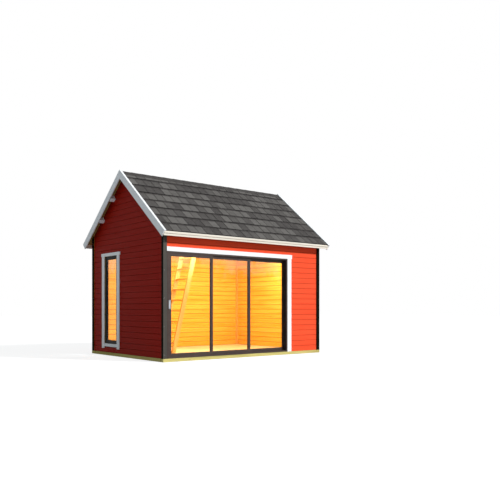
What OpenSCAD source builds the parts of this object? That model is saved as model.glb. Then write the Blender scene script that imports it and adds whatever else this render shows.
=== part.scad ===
// Garden shed: a small plank cabin with a steep gable roof, a three-panel sliding glass
// door in its long front wall, a tall narrow window in its left gable, and a loft ladder.
// +X runs along the front wall to the right, +Y runs from the front wall to the back, +Z is up.
// The origin is at ground level under the middle of the cabin.

/* [Overall] */
// Length of the cabin over its corner trims
house_length = 4310; // [3600:10:6000]
// Width of the cabin over its corner trims, front to back
house_width = 3160; // [2800:10:3900]
// Height of the top of the roof's ridge
ridge_height = 4000; // [3900:10:5000]
// Pitch of the roof in degrees
roof_pitch = 38.8; // [30:0.1:42]

/* [Base and floor] */
// Height of the sole beams that carry the walls
sole_height = 65; // [54:1:120]
// Width of the sole beams
sole_width = 130; // [126:1:200]
// Width of each floor joist
joist_width = 45; // [36:1:70]
// Greatest distance between the middles of two floor joists
joist_spacing = 600; // [400:10:800]
// Thickness of the floor boards, which end level with the top of the sole beams
floor_thickness = 21; // [18:1:28]

/* [Walls] */
// Thickness of the plank walls
wall_thickness = 58; // [44:1:95]
// Thickness of every outside trim board
trim_thickness = 20; // [15:1:28]
// Width of a corner trim on the long walls
corner_front_width = 85; // [72:1:120]
// Width of a corner trim's board on the gables, beside the edge of the long wall's board
corner_gable_width = 52; // [40:1:120]
// Side of the square posts in the inner corners of the room
inner_post_side = 45; // [30:1:70]

/* [Roof] */
// Distance of the barge boards' outer faces from the corner trims
gable_overhang = 119; // [90:1:300]
// Level distance of the barge boards' top corners from the corner trims
eave_overhang = 229; // [200:1:320]
// Level distance of the eave strips' outer faces from the corner trims
fascia_overhang = 200; // [150:1:200]
// Thickness of the barge boards
barge_thickness = 21; // [18:1:30]
// Depth of the barge boards, square to the roof
barge_depth = 125; // [100:1:180]
// Width of the caps on the barge boards
cap_width = 50; // [35:1:100]
// Thickness of the caps on the barge boards
cap_thickness = 20; // [15:1:30]
// Thickness of the shingle covering
shingle_thickness = 8; // [5:1:15]
// Thickness of the roof boards
deck_thickness = 20; // [18:1:28]
// Thickness of the ridge covering
ridge_cap_thickness = 5; // [3:1:8]
// Length of the ridge covering down each slope
ridge_cap_reach = 150; // [100:5:200]
// Thickness of the eave fascia boards
fascia_thickness = 22; // [18:1:30]
// Height of the eave fascia boards, from the roof boards' line down
fascia_height = 95; // [80:1:200]
// Thickness of the strips on the upper half of the fascia boards
eave_strip_thickness = 18; // [12:1:24]
// Height of the fascia face that shows below the eave strips
fascia_reveal = 46; // [30:1:70]

/* [Purlins] */
// Width of a purlin, along the slope
purlin_width = 90; // [70:1:140]
// Depth of a purlin, square to the roof
purlin_depth = 105; // [90:1:160]
// Level distance of the upper purlins from the ridge
upper_purlin_offset = 510; // [350:5:620]
// Level distance of the lower purlins from the ridge
lower_purlin_offset = 1030; // [850:5:1100]
// Distance that a purlin's end stands out from the corner trims
purlin_overhang = 85; // [50:1:90]

/* [Sliding door] */
// Width of the doorway
doorway_width = 3196; // [2400:1:3300]
// Height of the doorway above the sole beams
doorway_height = 2109; // [1900:1:2130]
// Gap round the door's outer frame
frame_gap = 2; // [0:0.5:4]
// Thickness of the outer frame's flat web
frame_web = 12; // [8:1:16]
// Thickness of the outer frame's guide fins
fin_thickness = 4; // [3:0.5:6]
// Height of the fins that show at the sill and their web
sill_face = 30; // [26:1:45]
// Height of the fins that show at the head and their web
head_face = 32; // [26:1:45]
// Width of the fins that show at the jambs and their web
jamb_face = 36; // [26:1:45]
// Thickness of a door panel
panel_thickness = 26; // [22:1:34]
// Clearance from a door panel to the fins and the webs
panel_clearance = 5; // [5:0.5:8]
// Overlap of two neighbouring door panels
panel_overlap = 42; // [30:1:70]
// Width of the left panel's outer upright, which carries the handle
lock_stile_width = 80; // [60:1:110]
// Width of the door panels' other uprights
stile_width = 58; // [40:1:80]
// Height of a door panel's top rail
top_rail_height = 73; // [50:1:100]
// Height of a door panel's bottom rail
bottom_rail_height = 67; // [60:1:120]
// Width of the rib that a door panel's rollers run on
rib_width = 5; // [4:1:8]
// Height of that rib
rib_height = 7; // [5:1:7]
// Radius of a roller
roller_radius = 9; // [8:1:12]
// Width of a roller
roller_width = 6; // [5:1:10]
// Running gap under a roller
roller_gap = 0.3; // [0.2:0.1:0.5]
// Thickness of the door's double glass
door_glass_thickness = 14; // [8:1:16]
// Depth of the groove that holds a pane
glass_bite = 10; // [6:1:14]
// Length of the pull handle
handle_length = 173; // [140:1:260]
// Width of the pull handle
handle_width = 28; // [20:1:32]
// Height of the pull handle's middle
handle_height = 1127; // [900:1:1300]
// Distance that the pull handle stands out from the panel
handle_reach = 34; // [30:1:50]
// Width of the door's side trim
door_side_trim_width = 119; // [80:1:140]
// Height of the door's head trim
door_head_trim_height = 90; // [60:1:120]
// Distance that the head trim runs past the side trim
door_head_trim_ear = 22; // [0:1:40]

/* [Gable window] */
// Distance of the window's nearer edge behind the middle of the gable
window_start = 358; // [200:1:380]
// Width of the window opening
window_width = 603; // [450:1:660]
// Height of the window opening's lower edge
window_sill_height = 261; // [220:1:400]
// Height of the window opening
window_height = 1950; // [1400:1:2000]
// Width of the window frame's face
window_frame_face = 71; // [50:1:90]
// Depth of the window frame
window_frame_depth = 50; // [40:1:62]
// Distance of the window frame behind the trims' faces
window_recess = 26; // [22:1:28]
// Thickness of the window's double glass
window_glass_thickness = 20; // [12:1:28]
// Width of the window's side trims
window_side_trim_width = 110; // [80:1:120]
// Height of the window's head trim
window_head_trim_height = 70; // [50:1:100]
// Distance that the head trim runs past a side trim
window_head_trim_ear = 30; // [0:1:50]
// Height of the window's bottom trim
window_bottom_trim_height = 65; // [50:1:90]
// Distance that the side trims run down past the window opening
window_side_trim_drop = 105; // [60:1:110]

/* [Loft and ladder] */
// Height of the undersides of the loft joists
loft_height = 2440; // [2400:10:2460]
// Height of a loft joist
loft_joist_height = 120; // [95:1:145]
// Thickness of the loft boards
loft_board_thickness = 20; // [18:1:28]
// Distance of the loft's edge from the inner face of the left gable
loft_edge = 1375; // [900:5:2200]
// Distance of the ladder's foot from the inner face of the left gable
ladder_foot = 735; // [500:5:900]
// Distance of the ladder's near side from the inner face of the front wall
ladder_start = 765; // [600:5:1200]
// Width of the ladder over its stiles
ladder_width = 530; // [400:5:600]
// Width of a ladder stile
ladder_stile_width = 100; // [70:1:120]
// Thickness of a ladder stile
ladder_stile_thickness = 28; // [20:1:40]
// Height of the ladder above the loft boards
ladder_rise = 60; // [20:5:200]
// Distance between two ladder rungs
rung_spacing = 232; // [200:1:280]
// Depth of a ladder rung
rung_depth = 66; // [40:1:80]
// Thickness of a ladder rung
rung_thickness = 26; // [20:1:36]

/* [Hidden] */

$fn = 48;
// Open joint between two trim boards that meet, and between the two slopes' boards at the ridge
joint_gap = 0.5;
// Gap between two sloping pieces that rest on each other
layer_gap = 0.3;
// Overrun of a cutting shape past the face that it cuts
cut = 10;

red = [0.72, 0.16, 0.09];
pine = [0.87, 0.66, 0.36];
green_timber = [0.62, 0.60, 0.32];
dark = [0.17, 0.17, 0.18];
white = [0.93, 0.93, 0.91];
slate = [0.30, 0.30, 0.31];
pane = [0.75, 0.85, 0.88, 0.4];
steel = [0.6, 0.6, 0.62];

// Half sizes over the trims, over the planks and inside the room
trim_x = house_length / 2;
trim_y = house_width / 2;
wall_x = trim_x - trim_thickness;
wall_y = trim_y - trim_thickness;
room_x = wall_x - wall_thickness;
room_y = wall_y - wall_thickness;

// Layers of the roof, as depths square to the slope below the tops of the barge caps
shingle_depth = cap_thickness + layer_gap;
deck_depth = shingle_depth + shingle_thickness + layer_gap;
under_depth = deck_depth + deck_thickness;
seat_depth = under_depth + layer_gap;
barge_foot_depth = shingle_depth + barge_depth;

barge_face_x = trim_x + gable_overhang;
barge_back_x = barge_face_x - barge_thickness;
barge_run = (trim_y + eave_overhang) / cos(roof_pitch);
strip_face_y = trim_y + fascia_overhang;
fascia_face_y = strip_face_y - eave_strip_thickness;
fascia_back_y = fascia_face_y - fascia_thickness;

// Doorway and the door's outer frame
doorway_left = -trim_x + corner_front_width;
doorway_right = doorway_left + doorway_width;
doorway_top = sole_height + doorway_height;
frame_left = doorway_left + frame_gap;
frame_right = doorway_right - frame_gap;
frame_top = doorway_top - frame_gap;
frame_width = frame_right - frame_left;
frame_front_y = -trim_y;
track_pitch = panel_thickness + 2 * panel_clearance + fin_thickness;
frame_depth = 3 * track_pitch + fin_thickness;

// Door panels
panels_left = frame_left + frame_web + panel_clearance;
panels_right = frame_right - frame_web - panel_clearance;
outer_stiles = lock_stile_width + stile_width;
glass_width = (panels_right - panels_left + 2 * panel_overlap - outer_stiles - 4 * stile_width) / 3;
rib_top = sole_height + frame_web + rib_height;
moving_panel_bottom = rib_top + panel_clearance;
panel_top = frame_top - frame_web - panel_clearance;
glass_bottom = moving_panel_bottom + bottom_rail_height;
glass_top = panel_top - top_rail_height;
carriage_length = 50;
carriage_width = 14;
carriage_height = 30;
carriage_inset = 120;
handle_plate = 4;
handle_bar = 14;

// Window
window_left_x = -trim_x + window_recess;
window_top = window_sill_height + window_height;
window_end = window_start + window_width;

// Loft and ladder
loft_edge_x = -room_x + loft_edge;
loft_top = loft_height + loft_joist_height + loft_board_thickness;
ladder_foot_x = -room_x + ladder_foot;
ladder_near_y = -room_y + ladder_start;
ladder_lean = atan((loft_edge_x - ladder_foot_x) / (loft_top - sole_height));
ladder_stile_level = ladder_stile_width / cos(ladder_lean);
rung_count = floor((loft_height - sole_height) / rung_spacing);

// Height of the roof layer at the given depth, at a level distance from the ridge
function roof_z(y, depth) = ridge_height - abs(y) * tan(roof_pitch) - depth / cos(roof_pitch);

// Point on a slope: run is the distance down it from the ridge, depth is square to it
function slope_point(run, depth) = [
  run * cos(roof_pitch) - depth * sin(roof_pitch),
  ridge_height - run * sin(roof_pitch) - depth * cos(roof_pitch)
];

// A cross-section in Y and Z, extruded from x1 to x2
module along_x(x1, x2, points) {
  translate([x1, 0, 0])
    rotate([90, 0, 90])
      linear_extrude(x2 - x1)
        polygon(points);
}

// A box between two corners
module box(low, high) {
  translate(low)
    cube(high - low);
}

// A copy on the back slope and one on the front slope
module on_both_slopes() {
  children();
  mirror([0, 1, 0]) children();
}

// A copy at the right gable and one at the left gable
module at_both_gables() {
  children();
  mirror([1, 0, 0]) children();
}

// A layer of the back slope that ends in a plumb cut
module back_layer(x1, x2, top_depth, foot_depth, end_y, start_y = 0) {
  along_x(x1, x2, [
    [start_y, roof_z(start_y, top_depth)],
    [end_y, roof_z(end_y, top_depth)],
    [end_y, roof_z(end_y, foot_depth)],
    [start_y, roof_z(start_y, foot_depth)],
  ]);
}

// A sloping board of the back slope that ends square
module back_slope_board(x1, x2, top_depth, foot_depth, run) {
  start_y = joint_gap / 2;
  along_x(x1, x2, [
    [start_y, roof_z(start_y, top_depth)],
    slope_point(run, top_depth),
    slope_point(run, foot_depth),
    [start_y, roof_z(start_y, foot_depth)],
  ]);
}

// Everything that fits under the roof boards
module under_roof() {
  reach = trim_y + eave_overhang;
  along_x(-barge_face_x, barge_face_x, [
    [-reach, 0],
    [reach, 0],
    [reach, roof_z(reach, seat_depth)],
    [0, roof_z(0, seat_depth)],
    [-reach, roof_z(reach, seat_depth)],
  ]);
}

// One purlin of the back slope, its middle at a level distance from the ridge, grown by a margin
module back_purlin(offset_y, margin) {
  half = purlin_width / 2 + margin;
  top_depth = seat_depth - margin;
  foot_depth = seat_depth + purlin_depth + margin;
  middle_run = (offset_y + (seat_depth + purlin_depth / 2) * sin(roof_pitch)) / cos(roof_pitch);
  end_x = trim_x + purlin_overhang;
  along_x(-end_x, end_x, [
    slope_point(middle_run - half, top_depth),
    slope_point(middle_run + half, top_depth),
    slope_point(middle_run + half, foot_depth),
    slope_point(middle_run - half, foot_depth),
  ]);
}

module purlin_shapes(margin = 0) {
  on_both_slopes() {
    back_purlin(upper_purlin_offset, margin);
    back_purlin(lower_purlin_offset, margin);
  }
}

// ---- Base and floor ----

module front_sole() {
  color(green_timber)
    box([-trim_x, -trim_y, 0], [trim_x, -trim_y + sole_width, sole_height]);
}

module back_sole() {
  color(green_timber)
    box([-trim_x, trim_y - sole_width, 0], [trim_x, trim_y, sole_height]);
}

module side_soles() {
  color(green_timber)
    at_both_gables()
      box([trim_x - sole_width, -trim_y + sole_width, 0], [trim_x, trim_y - sole_width, sole_height]);
}

module floor_joists() {
  span = 2 * (trim_x - sole_width) - joist_width;
  bays = ceil(span / joist_spacing);
  joist_y = trim_y - sole_width;
  color(green_timber)
    for (i = [0:bays]) {
      x = -span / 2 + i * span / bays;
      box([x - joist_width / 2, -joist_y, 0],
          [x + joist_width / 2, joist_y, sole_height - floor_thickness]);
    }
}

module floor_boards() {
  floor_x = trim_x - sole_width;
  floor_y = trim_y - sole_width;
  color(pine)
    box([-floor_x, -floor_y, sole_height - floor_thickness], [floor_x, floor_y, sole_height]);
}

// ---- Walls ----

// A stretch of the front wall, from bottom to the roof boards
module front_wall_stretch(x1, x2, bottom) {
  along_x(x1, x2, [
    [-wall_y, bottom],
    [-room_y, bottom],
    [-room_y, roof_z(room_y, seat_depth)],
    [-wall_y, roof_z(wall_y, seat_depth)],
  ]);
}

module front_wall_left_post() {
  color(red)
    front_wall_stretch(-wall_x, doorway_left, sole_height);
}

module front_wall_over_door() {
  color(red)
    front_wall_stretch(doorway_left, doorway_right, doorway_top);
}

module front_wall_right() {
  color(red)
    front_wall_stretch(doorway_right, wall_x, sole_height);
}

module back_wall() {
  color(red)
    mirror([0, 1, 0])
      front_wall_stretch(-wall_x, wall_x, sole_height);
}

// Room for the door's frame where its back stands beside the left gable wall
module frame_rebate() {
  box([doorway_left, -room_y - cut, sole_height],
      [-room_x + cut, frame_front_y + frame_depth + frame_gap, doorway_top]);
}

// A gable wall between the long walls, notched round the purlins
module gable_wall() {
  difference() {
    along_x(room_x, wall_x, [
      [-room_y, sole_height],
      [room_y, sole_height],
      [room_y, roof_z(room_y, seat_depth)],
      [0, roof_z(0, seat_depth)],
      [-room_y, roof_z(room_y, seat_depth)],
    ]);
    purlin_shapes(layer_gap);
  }
}

module left_gable_wall() {
  color(red)
    difference() {
      mirror([1, 0, 0]) gable_wall();
      box([-wall_x - cut, window_start, window_sill_height], [-room_x + cut, window_end, window_top]);
      frame_rebate();
    }
}

module right_gable_wall() {
  color(red)
    gable_wall();
}

// The two boards of the trim at the back right corner
module corner_trim() {
  box([trim_x - corner_front_width, wall_y, sole_height], [trim_x, trim_y, ridge_height]);
  box([wall_x, wall_y - corner_gable_width, sole_height],
      [trim_x, wall_y - joint_gap, ridge_height]);
}

module corner_trims() {
  color(dark)
    intersection() {
      on_both_slopes() at_both_gables() corner_trim();
      under_roof();
    }
}

// Posts in the inner corners, save where the door's frame stands
module inner_corner_posts() {
  color(pine)
    intersection() {
      union() {
        at_both_gables()
          box([room_x - inner_post_side, room_y - inner_post_side, sole_height],
              [room_x, room_y, ridge_height]);
        box([room_x - inner_post_side, -room_y, sole_height],
            [room_x, -room_y + inner_post_side, loft_height]);
      }
      union() {
        under_roof_left_of(loft_edge_x);
        box([loft_edge_x, -room_y, sole_height], [room_x, room_y, loft_height]);
      }
    }
}

// Everything under the roof boards and to the left of x
module under_roof_left_of(x) {
  intersection() {
    under_roof();
    box([-trim_x, -trim_y, 0], [x, trim_y, ridge_height]);
  }
}

// ---- Roof ----

module roof_purlins() {
  color(white)
    purlin_shapes();
}

module back_roof_boards() {
  color(pine)
    back_layer(-barge_back_x, barge_back_x, deck_depth, under_depth, fascia_back_y);
}

module front_roof_boards() {
  color(pine)
    mirror([0, 1, 0])
      back_layer(-barge_back_x, barge_back_x, deck_depth, under_depth, fascia_back_y);
}

// Shingles on the back slope, cut back at the ridge for the ridge covering
module shingle_slope() {
  run_y = ridge_cap_reach * cos(roof_pitch);
  step_depth = shingle_depth + ridge_cap_thickness + layer_gap;
  foot_depth = shingle_depth + shingle_thickness;
  back_layer(-barge_back_x, barge_back_x, step_depth, foot_depth, run_y);
  back_layer(-barge_back_x, barge_back_x, shingle_depth, foot_depth, strip_face_y, run_y);
}

module back_shingles() {
  color(slate)
    shingle_slope();
}

module front_shingles() {
  color(slate)
    mirror([0, 1, 0]) shingle_slope();
}

module ridge_cap() {
  run_y = ridge_cap_reach * cos(roof_pitch);
  color(slate)
    along_x(-barge_back_x, barge_back_x, [
      [-run_y, roof_z(run_y, shingle_depth)],
      [0, roof_z(0, shingle_depth)],
      [run_y, roof_z(run_y, shingle_depth)],
      [run_y, roof_z(run_y, shingle_depth + ridge_cap_thickness)],
      [0, roof_z(0, shingle_depth + ridge_cap_thickness)],
      [-run_y, roof_z(run_y, shingle_depth + ridge_cap_thickness)],
    ]);
}

module right_barge_boards() {
  color(white)
    on_both_slopes()
      back_slope_board(barge_back_x, barge_face_x, shingle_depth, barge_foot_depth, barge_run);
}

module left_barge_boards() {
  mirror([1, 0, 0]) right_barge_boards();
}

module right_barge_caps() {
  color(white)
    on_both_slopes()
      back_slope_board(barge_face_x - cap_width, barge_face_x, 0, cap_thickness, barge_run);
}

module left_barge_caps() {
  mirror([1, 0, 0]) right_barge_caps();
}

module eave_fascias() {
  fascia_bottom = roof_z(fascia_face_y, deck_depth) - fascia_height;
  color(white)
    on_both_slopes()
      along_x(-barge_back_x, barge_back_x, [
        [fascia_back_y, fascia_bottom],
        [fascia_face_y, fascia_bottom],
        [fascia_face_y, roof_z(fascia_face_y, deck_depth)],
        [fascia_back_y, roof_z(fascia_back_y, deck_depth)],
      ]);
}

module eave_strips() {
  strip_bottom = roof_z(fascia_face_y, deck_depth) - fascia_height + fascia_reveal;
  color(white)
    on_both_slopes()
      along_x(-barge_back_x, barge_back_x, [
        [fascia_face_y, strip_bottom],
        [strip_face_y, strip_bottom],
        [strip_face_y, roof_z(strip_face_y, deck_depth)],
        [fascia_face_y, roof_z(fascia_face_y, deck_depth)],
      ]);
}

// ---- Sliding door ----

// The guide fins of one side of the outer frame, seen along X: one at each edge of each track
module frame_fins(x1, x2, z1, z2) {
  for (i = [0:3]) {
    y = frame_front_y + i * track_pitch;
    box([x1, y, z1], [x2, y + fin_thickness, z2]);
  }
}

// Middle of a track, counted from the front one
function track_y(track) = frame_front_y + fin_thickness + track * track_pitch + track_pitch / 2
  - fin_thickness / 2;

module door_sill() {
  web_top = sole_height + frame_web;
  color(dark)
    union() {
      box([frame_left, frame_front_y, sole_height],
          [frame_right, frame_front_y + frame_depth, web_top]);
      frame_fins(frame_left, frame_right, web_top, sole_height + sill_face);
      for (track = [0:2])
        box([frame_left, track_y(track) - rib_width / 2, web_top],
            [frame_right, track_y(track) + rib_width / 2, rib_top]);
    }
}

module door_head() {
  web_bottom = frame_top - frame_web;
  color(dark)
    union() {
      box([frame_left, frame_front_y, web_bottom],
          [frame_right, frame_front_y + frame_depth, frame_top]);
      frame_fins(frame_left, frame_right, frame_top - head_face, web_bottom);
    }
}

// The left jamb, its web against the doorway
module door_jamb() {
  bottom = sole_height + sill_face;
  top = frame_top - head_face;
  web_end = frame_left + frame_web;
  union() {
    box([frame_left, frame_front_y, bottom], [web_end, frame_front_y + frame_depth, top]);
    frame_fins(web_end, frame_left + jamb_face, bottom, top);
  }
}

module door_jambs() {
  middle = (frame_left + frame_right) / 2;
  color(dark) {
    door_jamb();
    translate([2 * middle, 0, 0]) mirror([1, 0, 0]) door_jamb();
  }
}

// The panels' glass is all of one width, so the panel with the lock stile is the widest
function outer_stile(track) = track == 0 ? lock_stile_width : stile_width;

function panel_left(track) = track == 0 ? panels_left : panel_right(track - 1) - panel_overlap;

function panel_right(track) = panel_left(track) + outer_stile(track) + glass_width + stile_width;

// Middles of a moving panel's two roller carriages
function carriage_places(track) = [
  panel_left(track) + carriage_inset,
  panel_right(track) - carriage_inset
];

// Pockets, or the carriages that fill them, in the bottom rail of a moving panel
module carriage_blocks(track) {
  for (x = carriage_places(track))
    box([x - carriage_length / 2, track_y(track) - carriage_width / 2, moving_panel_bottom],
        [x + carriage_length / 2, track_y(track) + carriage_width / 2,
         moving_panel_bottom + carriage_height]);
}

module door_pane(track) {
  x1 = panel_left(track) + outer_stile(track);
  half_thickness = door_glass_thickness / 2;
  box([x1 - glass_bite, track_y(track) - half_thickness, glass_bottom - glass_bite],
      [x1 + glass_width + glass_bite, track_y(track) + half_thickness, glass_top + glass_bite]);
}

module door_panel(track, bottom) {
  front_y = track_y(track) - panel_thickness / 2;
  back_y = track_y(track) + panel_thickness / 2;
  x1 = panel_left(track) + outer_stile(track);
  difference() {
    box([panel_left(track), front_y, bottom], [panel_right(track), back_y, panel_top]);
    box([x1, front_y - cut, glass_bottom], [x1 + glass_width, back_y + cut, glass_top]);
    door_pane(track);
  }
}

module moving_door_panel(track) {
  difference() {
    door_panel(track, moving_panel_bottom);
    carriage_blocks(track);
  }
}

module door_rollers(track) {
  for (x = carriage_places(track))
    translate([x, track_y(track) + roller_width / 2, rib_top + roller_gap + roller_radius])
      rotate([90, 0, 0])
        cylinder(h = roller_width, r = roller_radius);
  carriage_blocks(track);
}

module left_door_frame() {
  color(dark) moving_door_panel(0);
}

module left_door_glass() {
  color(pane) door_pane(0);
}

module left_door_rollers() {
  color(steel) union() door_rollers(0);
}

// A flat plate on the stile that carries a straight grip on two posts
module left_door_handle() {
  x1 = frame_left + jamb_face + panel_clearance;
  x2 = x1 + handle_width;
  middle_x = (x1 + x2) / 2;
  face_y = track_y(0) - panel_thickness / 2;
  z1 = handle_height - handle_length / 2;
  z2 = handle_height + handle_length / 2;
  color(white)
    union() {
      box([x1, face_y - handle_plate, z1], [x2, face_y, z2]);
      for (z = [z1, z2 - handle_bar])
        box([middle_x - handle_bar / 2, face_y - handle_reach, z],
            [middle_x + handle_bar / 2, face_y - handle_plate, z + handle_bar]);
      box([middle_x - handle_bar / 2, face_y - handle_reach, z1],
          [middle_x + handle_bar / 2, face_y - handle_reach + handle_bar, z2]);
    }
}

module middle_door_frame() {
  color(dark) moving_door_panel(1);
}

module middle_door_glass() {
  color(pane) door_pane(1);
}

module middle_door_rollers() {
  color(steel) union() door_rollers(1);
}

module right_door_frame() {
  color(dark) door_panel(2, rib_top);
}

module right_door_glass() {
  color(pane) door_pane(2);
}

module door_trims() {
  side_right = doorway_right + door_side_trim_width;
  color(white) {
    box([doorway_right, -trim_y, sole_height], [side_right, -wall_y, doorway_top - joint_gap]);
    box([doorway_left, -trim_y, doorway_top],
        [side_right + door_head_trim_ear, -wall_y, doorway_top + door_head_trim_height]);
  }
}

// ---- Gable window ----

module window_pane() {
  middle_x = window_left_x + window_frame_depth / 2;
  edge = window_frame_face - glass_bite;
  box([middle_x - window_glass_thickness / 2, window_start + edge, window_sill_height + edge],
      [middle_x + window_glass_thickness / 2, window_end - edge, window_top - edge]);
}

module window_frame() {
  x2 = window_left_x + window_frame_depth;
  color(dark)
    difference() {
      box([window_left_x, window_start + frame_gap, window_sill_height],
          [x2, window_end - frame_gap, window_top - frame_gap]);
      box([window_left_x - cut, window_start + window_frame_face,
           window_sill_height + window_frame_face],
          [x2 + cut, window_end - window_frame_face, window_top - window_frame_face]);
      window_pane();
    }
}

module window_glass() {
  color(pane) window_pane();
}

module window_trims() {
  side_bottom = window_sill_height - window_side_trim_drop;
  outer_start = window_start - window_side_trim_width;
  outer_end = window_end + window_side_trim_width;
  color(white) {
    box([-trim_x, outer_start, side_bottom], [-wall_x, window_start, window_top - joint_gap]);
    box([-trim_x, window_end, side_bottom], [-wall_x, outer_end, window_top - joint_gap]);
    box([-trim_x, outer_start - window_head_trim_ear, window_top],
        [-wall_x, outer_end + window_head_trim_ear, window_top + window_head_trim_height]);
    box([-trim_x, window_start + joint_gap, window_sill_height - window_bottom_trim_height],
        [-wall_x, window_end - joint_gap, window_sill_height]);
  }
}

// ---- Loft and ladder ----

module loft_joists() {
  span = room_x - loft_edge_x - joist_width;
  bays = ceil(span / joist_spacing);
  color(pine)
    for (i = [0:bays]) {
      x = loft_edge_x + i * span / bays;
      box([x, -room_y, loft_height], [x + joist_width, room_y, loft_height + loft_joist_height]);
    }
}

module loft_boards() {
  color(pine)
    box([loft_edge_x, -room_y, loft_height + loft_joist_height], [room_x, room_y, loft_top]);
}

// Level distance that the ladder leans, from the floor up to height z
function ladder_x(z) = ladder_foot_x + (z - sole_height) * tan(ladder_lean);

// A leaning stile whose back edge rests against the edge of the loft
module ladder_stile(y) {
  top = loft_top + ladder_rise;
  translate([0, y + ladder_stile_thickness, 0])
    rotate([90, 0, 0])
      linear_extrude(ladder_stile_thickness)
        polygon([
          [ladder_x(sole_height) - ladder_stile_level, sole_height],
          [ladder_x(sole_height), sole_height],
          [ladder_x(top), top],
          [ladder_x(top) - ladder_stile_level, top],
        ]);
}

module ladder_stiles() {
  color(pine) {
    ladder_stile(ladder_near_y);
    ladder_stile(ladder_near_y + ladder_width - ladder_stile_thickness);
  }
}

module ladder_rungs() {
  y1 = ladder_near_y + ladder_stile_thickness;
  y2 = ladder_near_y + ladder_width - ladder_stile_thickness;
  color(pine)
    for (i = [1:rung_count]) {
      z = sole_height + i * rung_spacing;
      middle_x = ladder_x(z) - ladder_stile_level / 2;
      box([middle_x - rung_depth / 2, y1, z - rung_thickness / 2],
          [middle_x + rung_depth / 2, y2, z + rung_thickness / 2]);
    }
}

front_sole();
back_sole();
side_soles();
floor_joists();
floor_boards();
front_wall_left_post();
front_wall_over_door();
front_wall_right();
back_wall();
left_gable_wall();
right_gable_wall();
corner_trims();
inner_corner_posts();
roof_purlins();
front_roof_boards();
back_roof_boards();
front_shingles();
back_shingles();
ridge_cap();
left_barge_boards();
right_barge_boards();
left_barge_caps();
right_barge_caps();
eave_fascias();
eave_strips();
door_sill();
door_head();
door_jambs();
door_trims();
left_door_frame();
left_door_glass();
left_door_rollers();
left_door_handle();
middle_door_frame();
middle_door_glass();
middle_door_rollers();
right_door_frame();
right_door_glass();
window_frame();
window_glass();
window_trims();
loft_joists();
loft_boards();
ladder_stiles();
ladder_rungs();
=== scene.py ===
"""Looks of a small garden shed: plank walls, shingles, a sliding glass door and a loft ladder.

Every length is in metres. +X runs along the front wall to the right, +Y from the front wall to the
back and +Z up, with the origin at ground level under the middle of the shed.
"""

import logging
import math
from collections.abc import Callable, Iterable
from dataclasses import dataclass, field
from enum import Enum

import bmesh
import bpy
from mathutils import Matrix, Vector


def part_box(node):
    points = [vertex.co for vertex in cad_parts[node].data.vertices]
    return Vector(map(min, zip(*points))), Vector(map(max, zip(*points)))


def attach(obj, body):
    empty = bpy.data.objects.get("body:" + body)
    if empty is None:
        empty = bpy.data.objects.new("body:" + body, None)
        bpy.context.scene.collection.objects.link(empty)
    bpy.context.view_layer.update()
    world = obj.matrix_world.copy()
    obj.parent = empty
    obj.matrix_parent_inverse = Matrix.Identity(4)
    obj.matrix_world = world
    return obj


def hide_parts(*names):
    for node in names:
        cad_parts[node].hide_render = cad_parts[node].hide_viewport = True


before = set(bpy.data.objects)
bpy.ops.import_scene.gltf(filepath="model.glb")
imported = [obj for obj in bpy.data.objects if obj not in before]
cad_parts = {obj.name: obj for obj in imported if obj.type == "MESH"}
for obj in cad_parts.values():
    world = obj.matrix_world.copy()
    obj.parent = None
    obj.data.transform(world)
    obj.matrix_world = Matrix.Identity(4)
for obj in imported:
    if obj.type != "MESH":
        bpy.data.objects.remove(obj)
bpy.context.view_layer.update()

LOG = logging.getLogger("garden_shed")
Colour = tuple[float, float, float]
Point = tuple[float, float, float]


class Axis(Enum):
    """An axis of the shed."""

    X = 0
    Y = 1
    Z = 2


class Body(Enum):
    """What a piece rides on."""

    HOUSE = "house"
    LEFT_DOOR = "left_door"
    MIDDLE_DOOR = "middle_door"


class Slope(Enum):
    """One of the roof's two slopes, by the sign of its Y side."""

    FRONT = -1
    BACK = 1


def srgb(red: int, green: int, blue: int) -> Colour:
    """Turns a colour as painters' charts give it into the light values that shaders take.

    Args:
        red: From 0 to 255.
        green: From 0 to 255.
        blue: From 0 to 255.

    Returns:
        The three values from 0 to 1.
    """

    def linear(value: int) -> float:
        """One channel of the colour."""
        share = value / 255
        return share / 12.92 if share <= 0.04045 else ((share + 0.055) / 1.055) ** 2.4

    return linear(red), linear(green), linear(blue)


def rgba(colour: Colour) -> tuple[float, float, float, float]:
    """The colour with full cover."""
    return (*colour, 1.0)


# ---------------------------------------------------------------- node graphs


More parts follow.
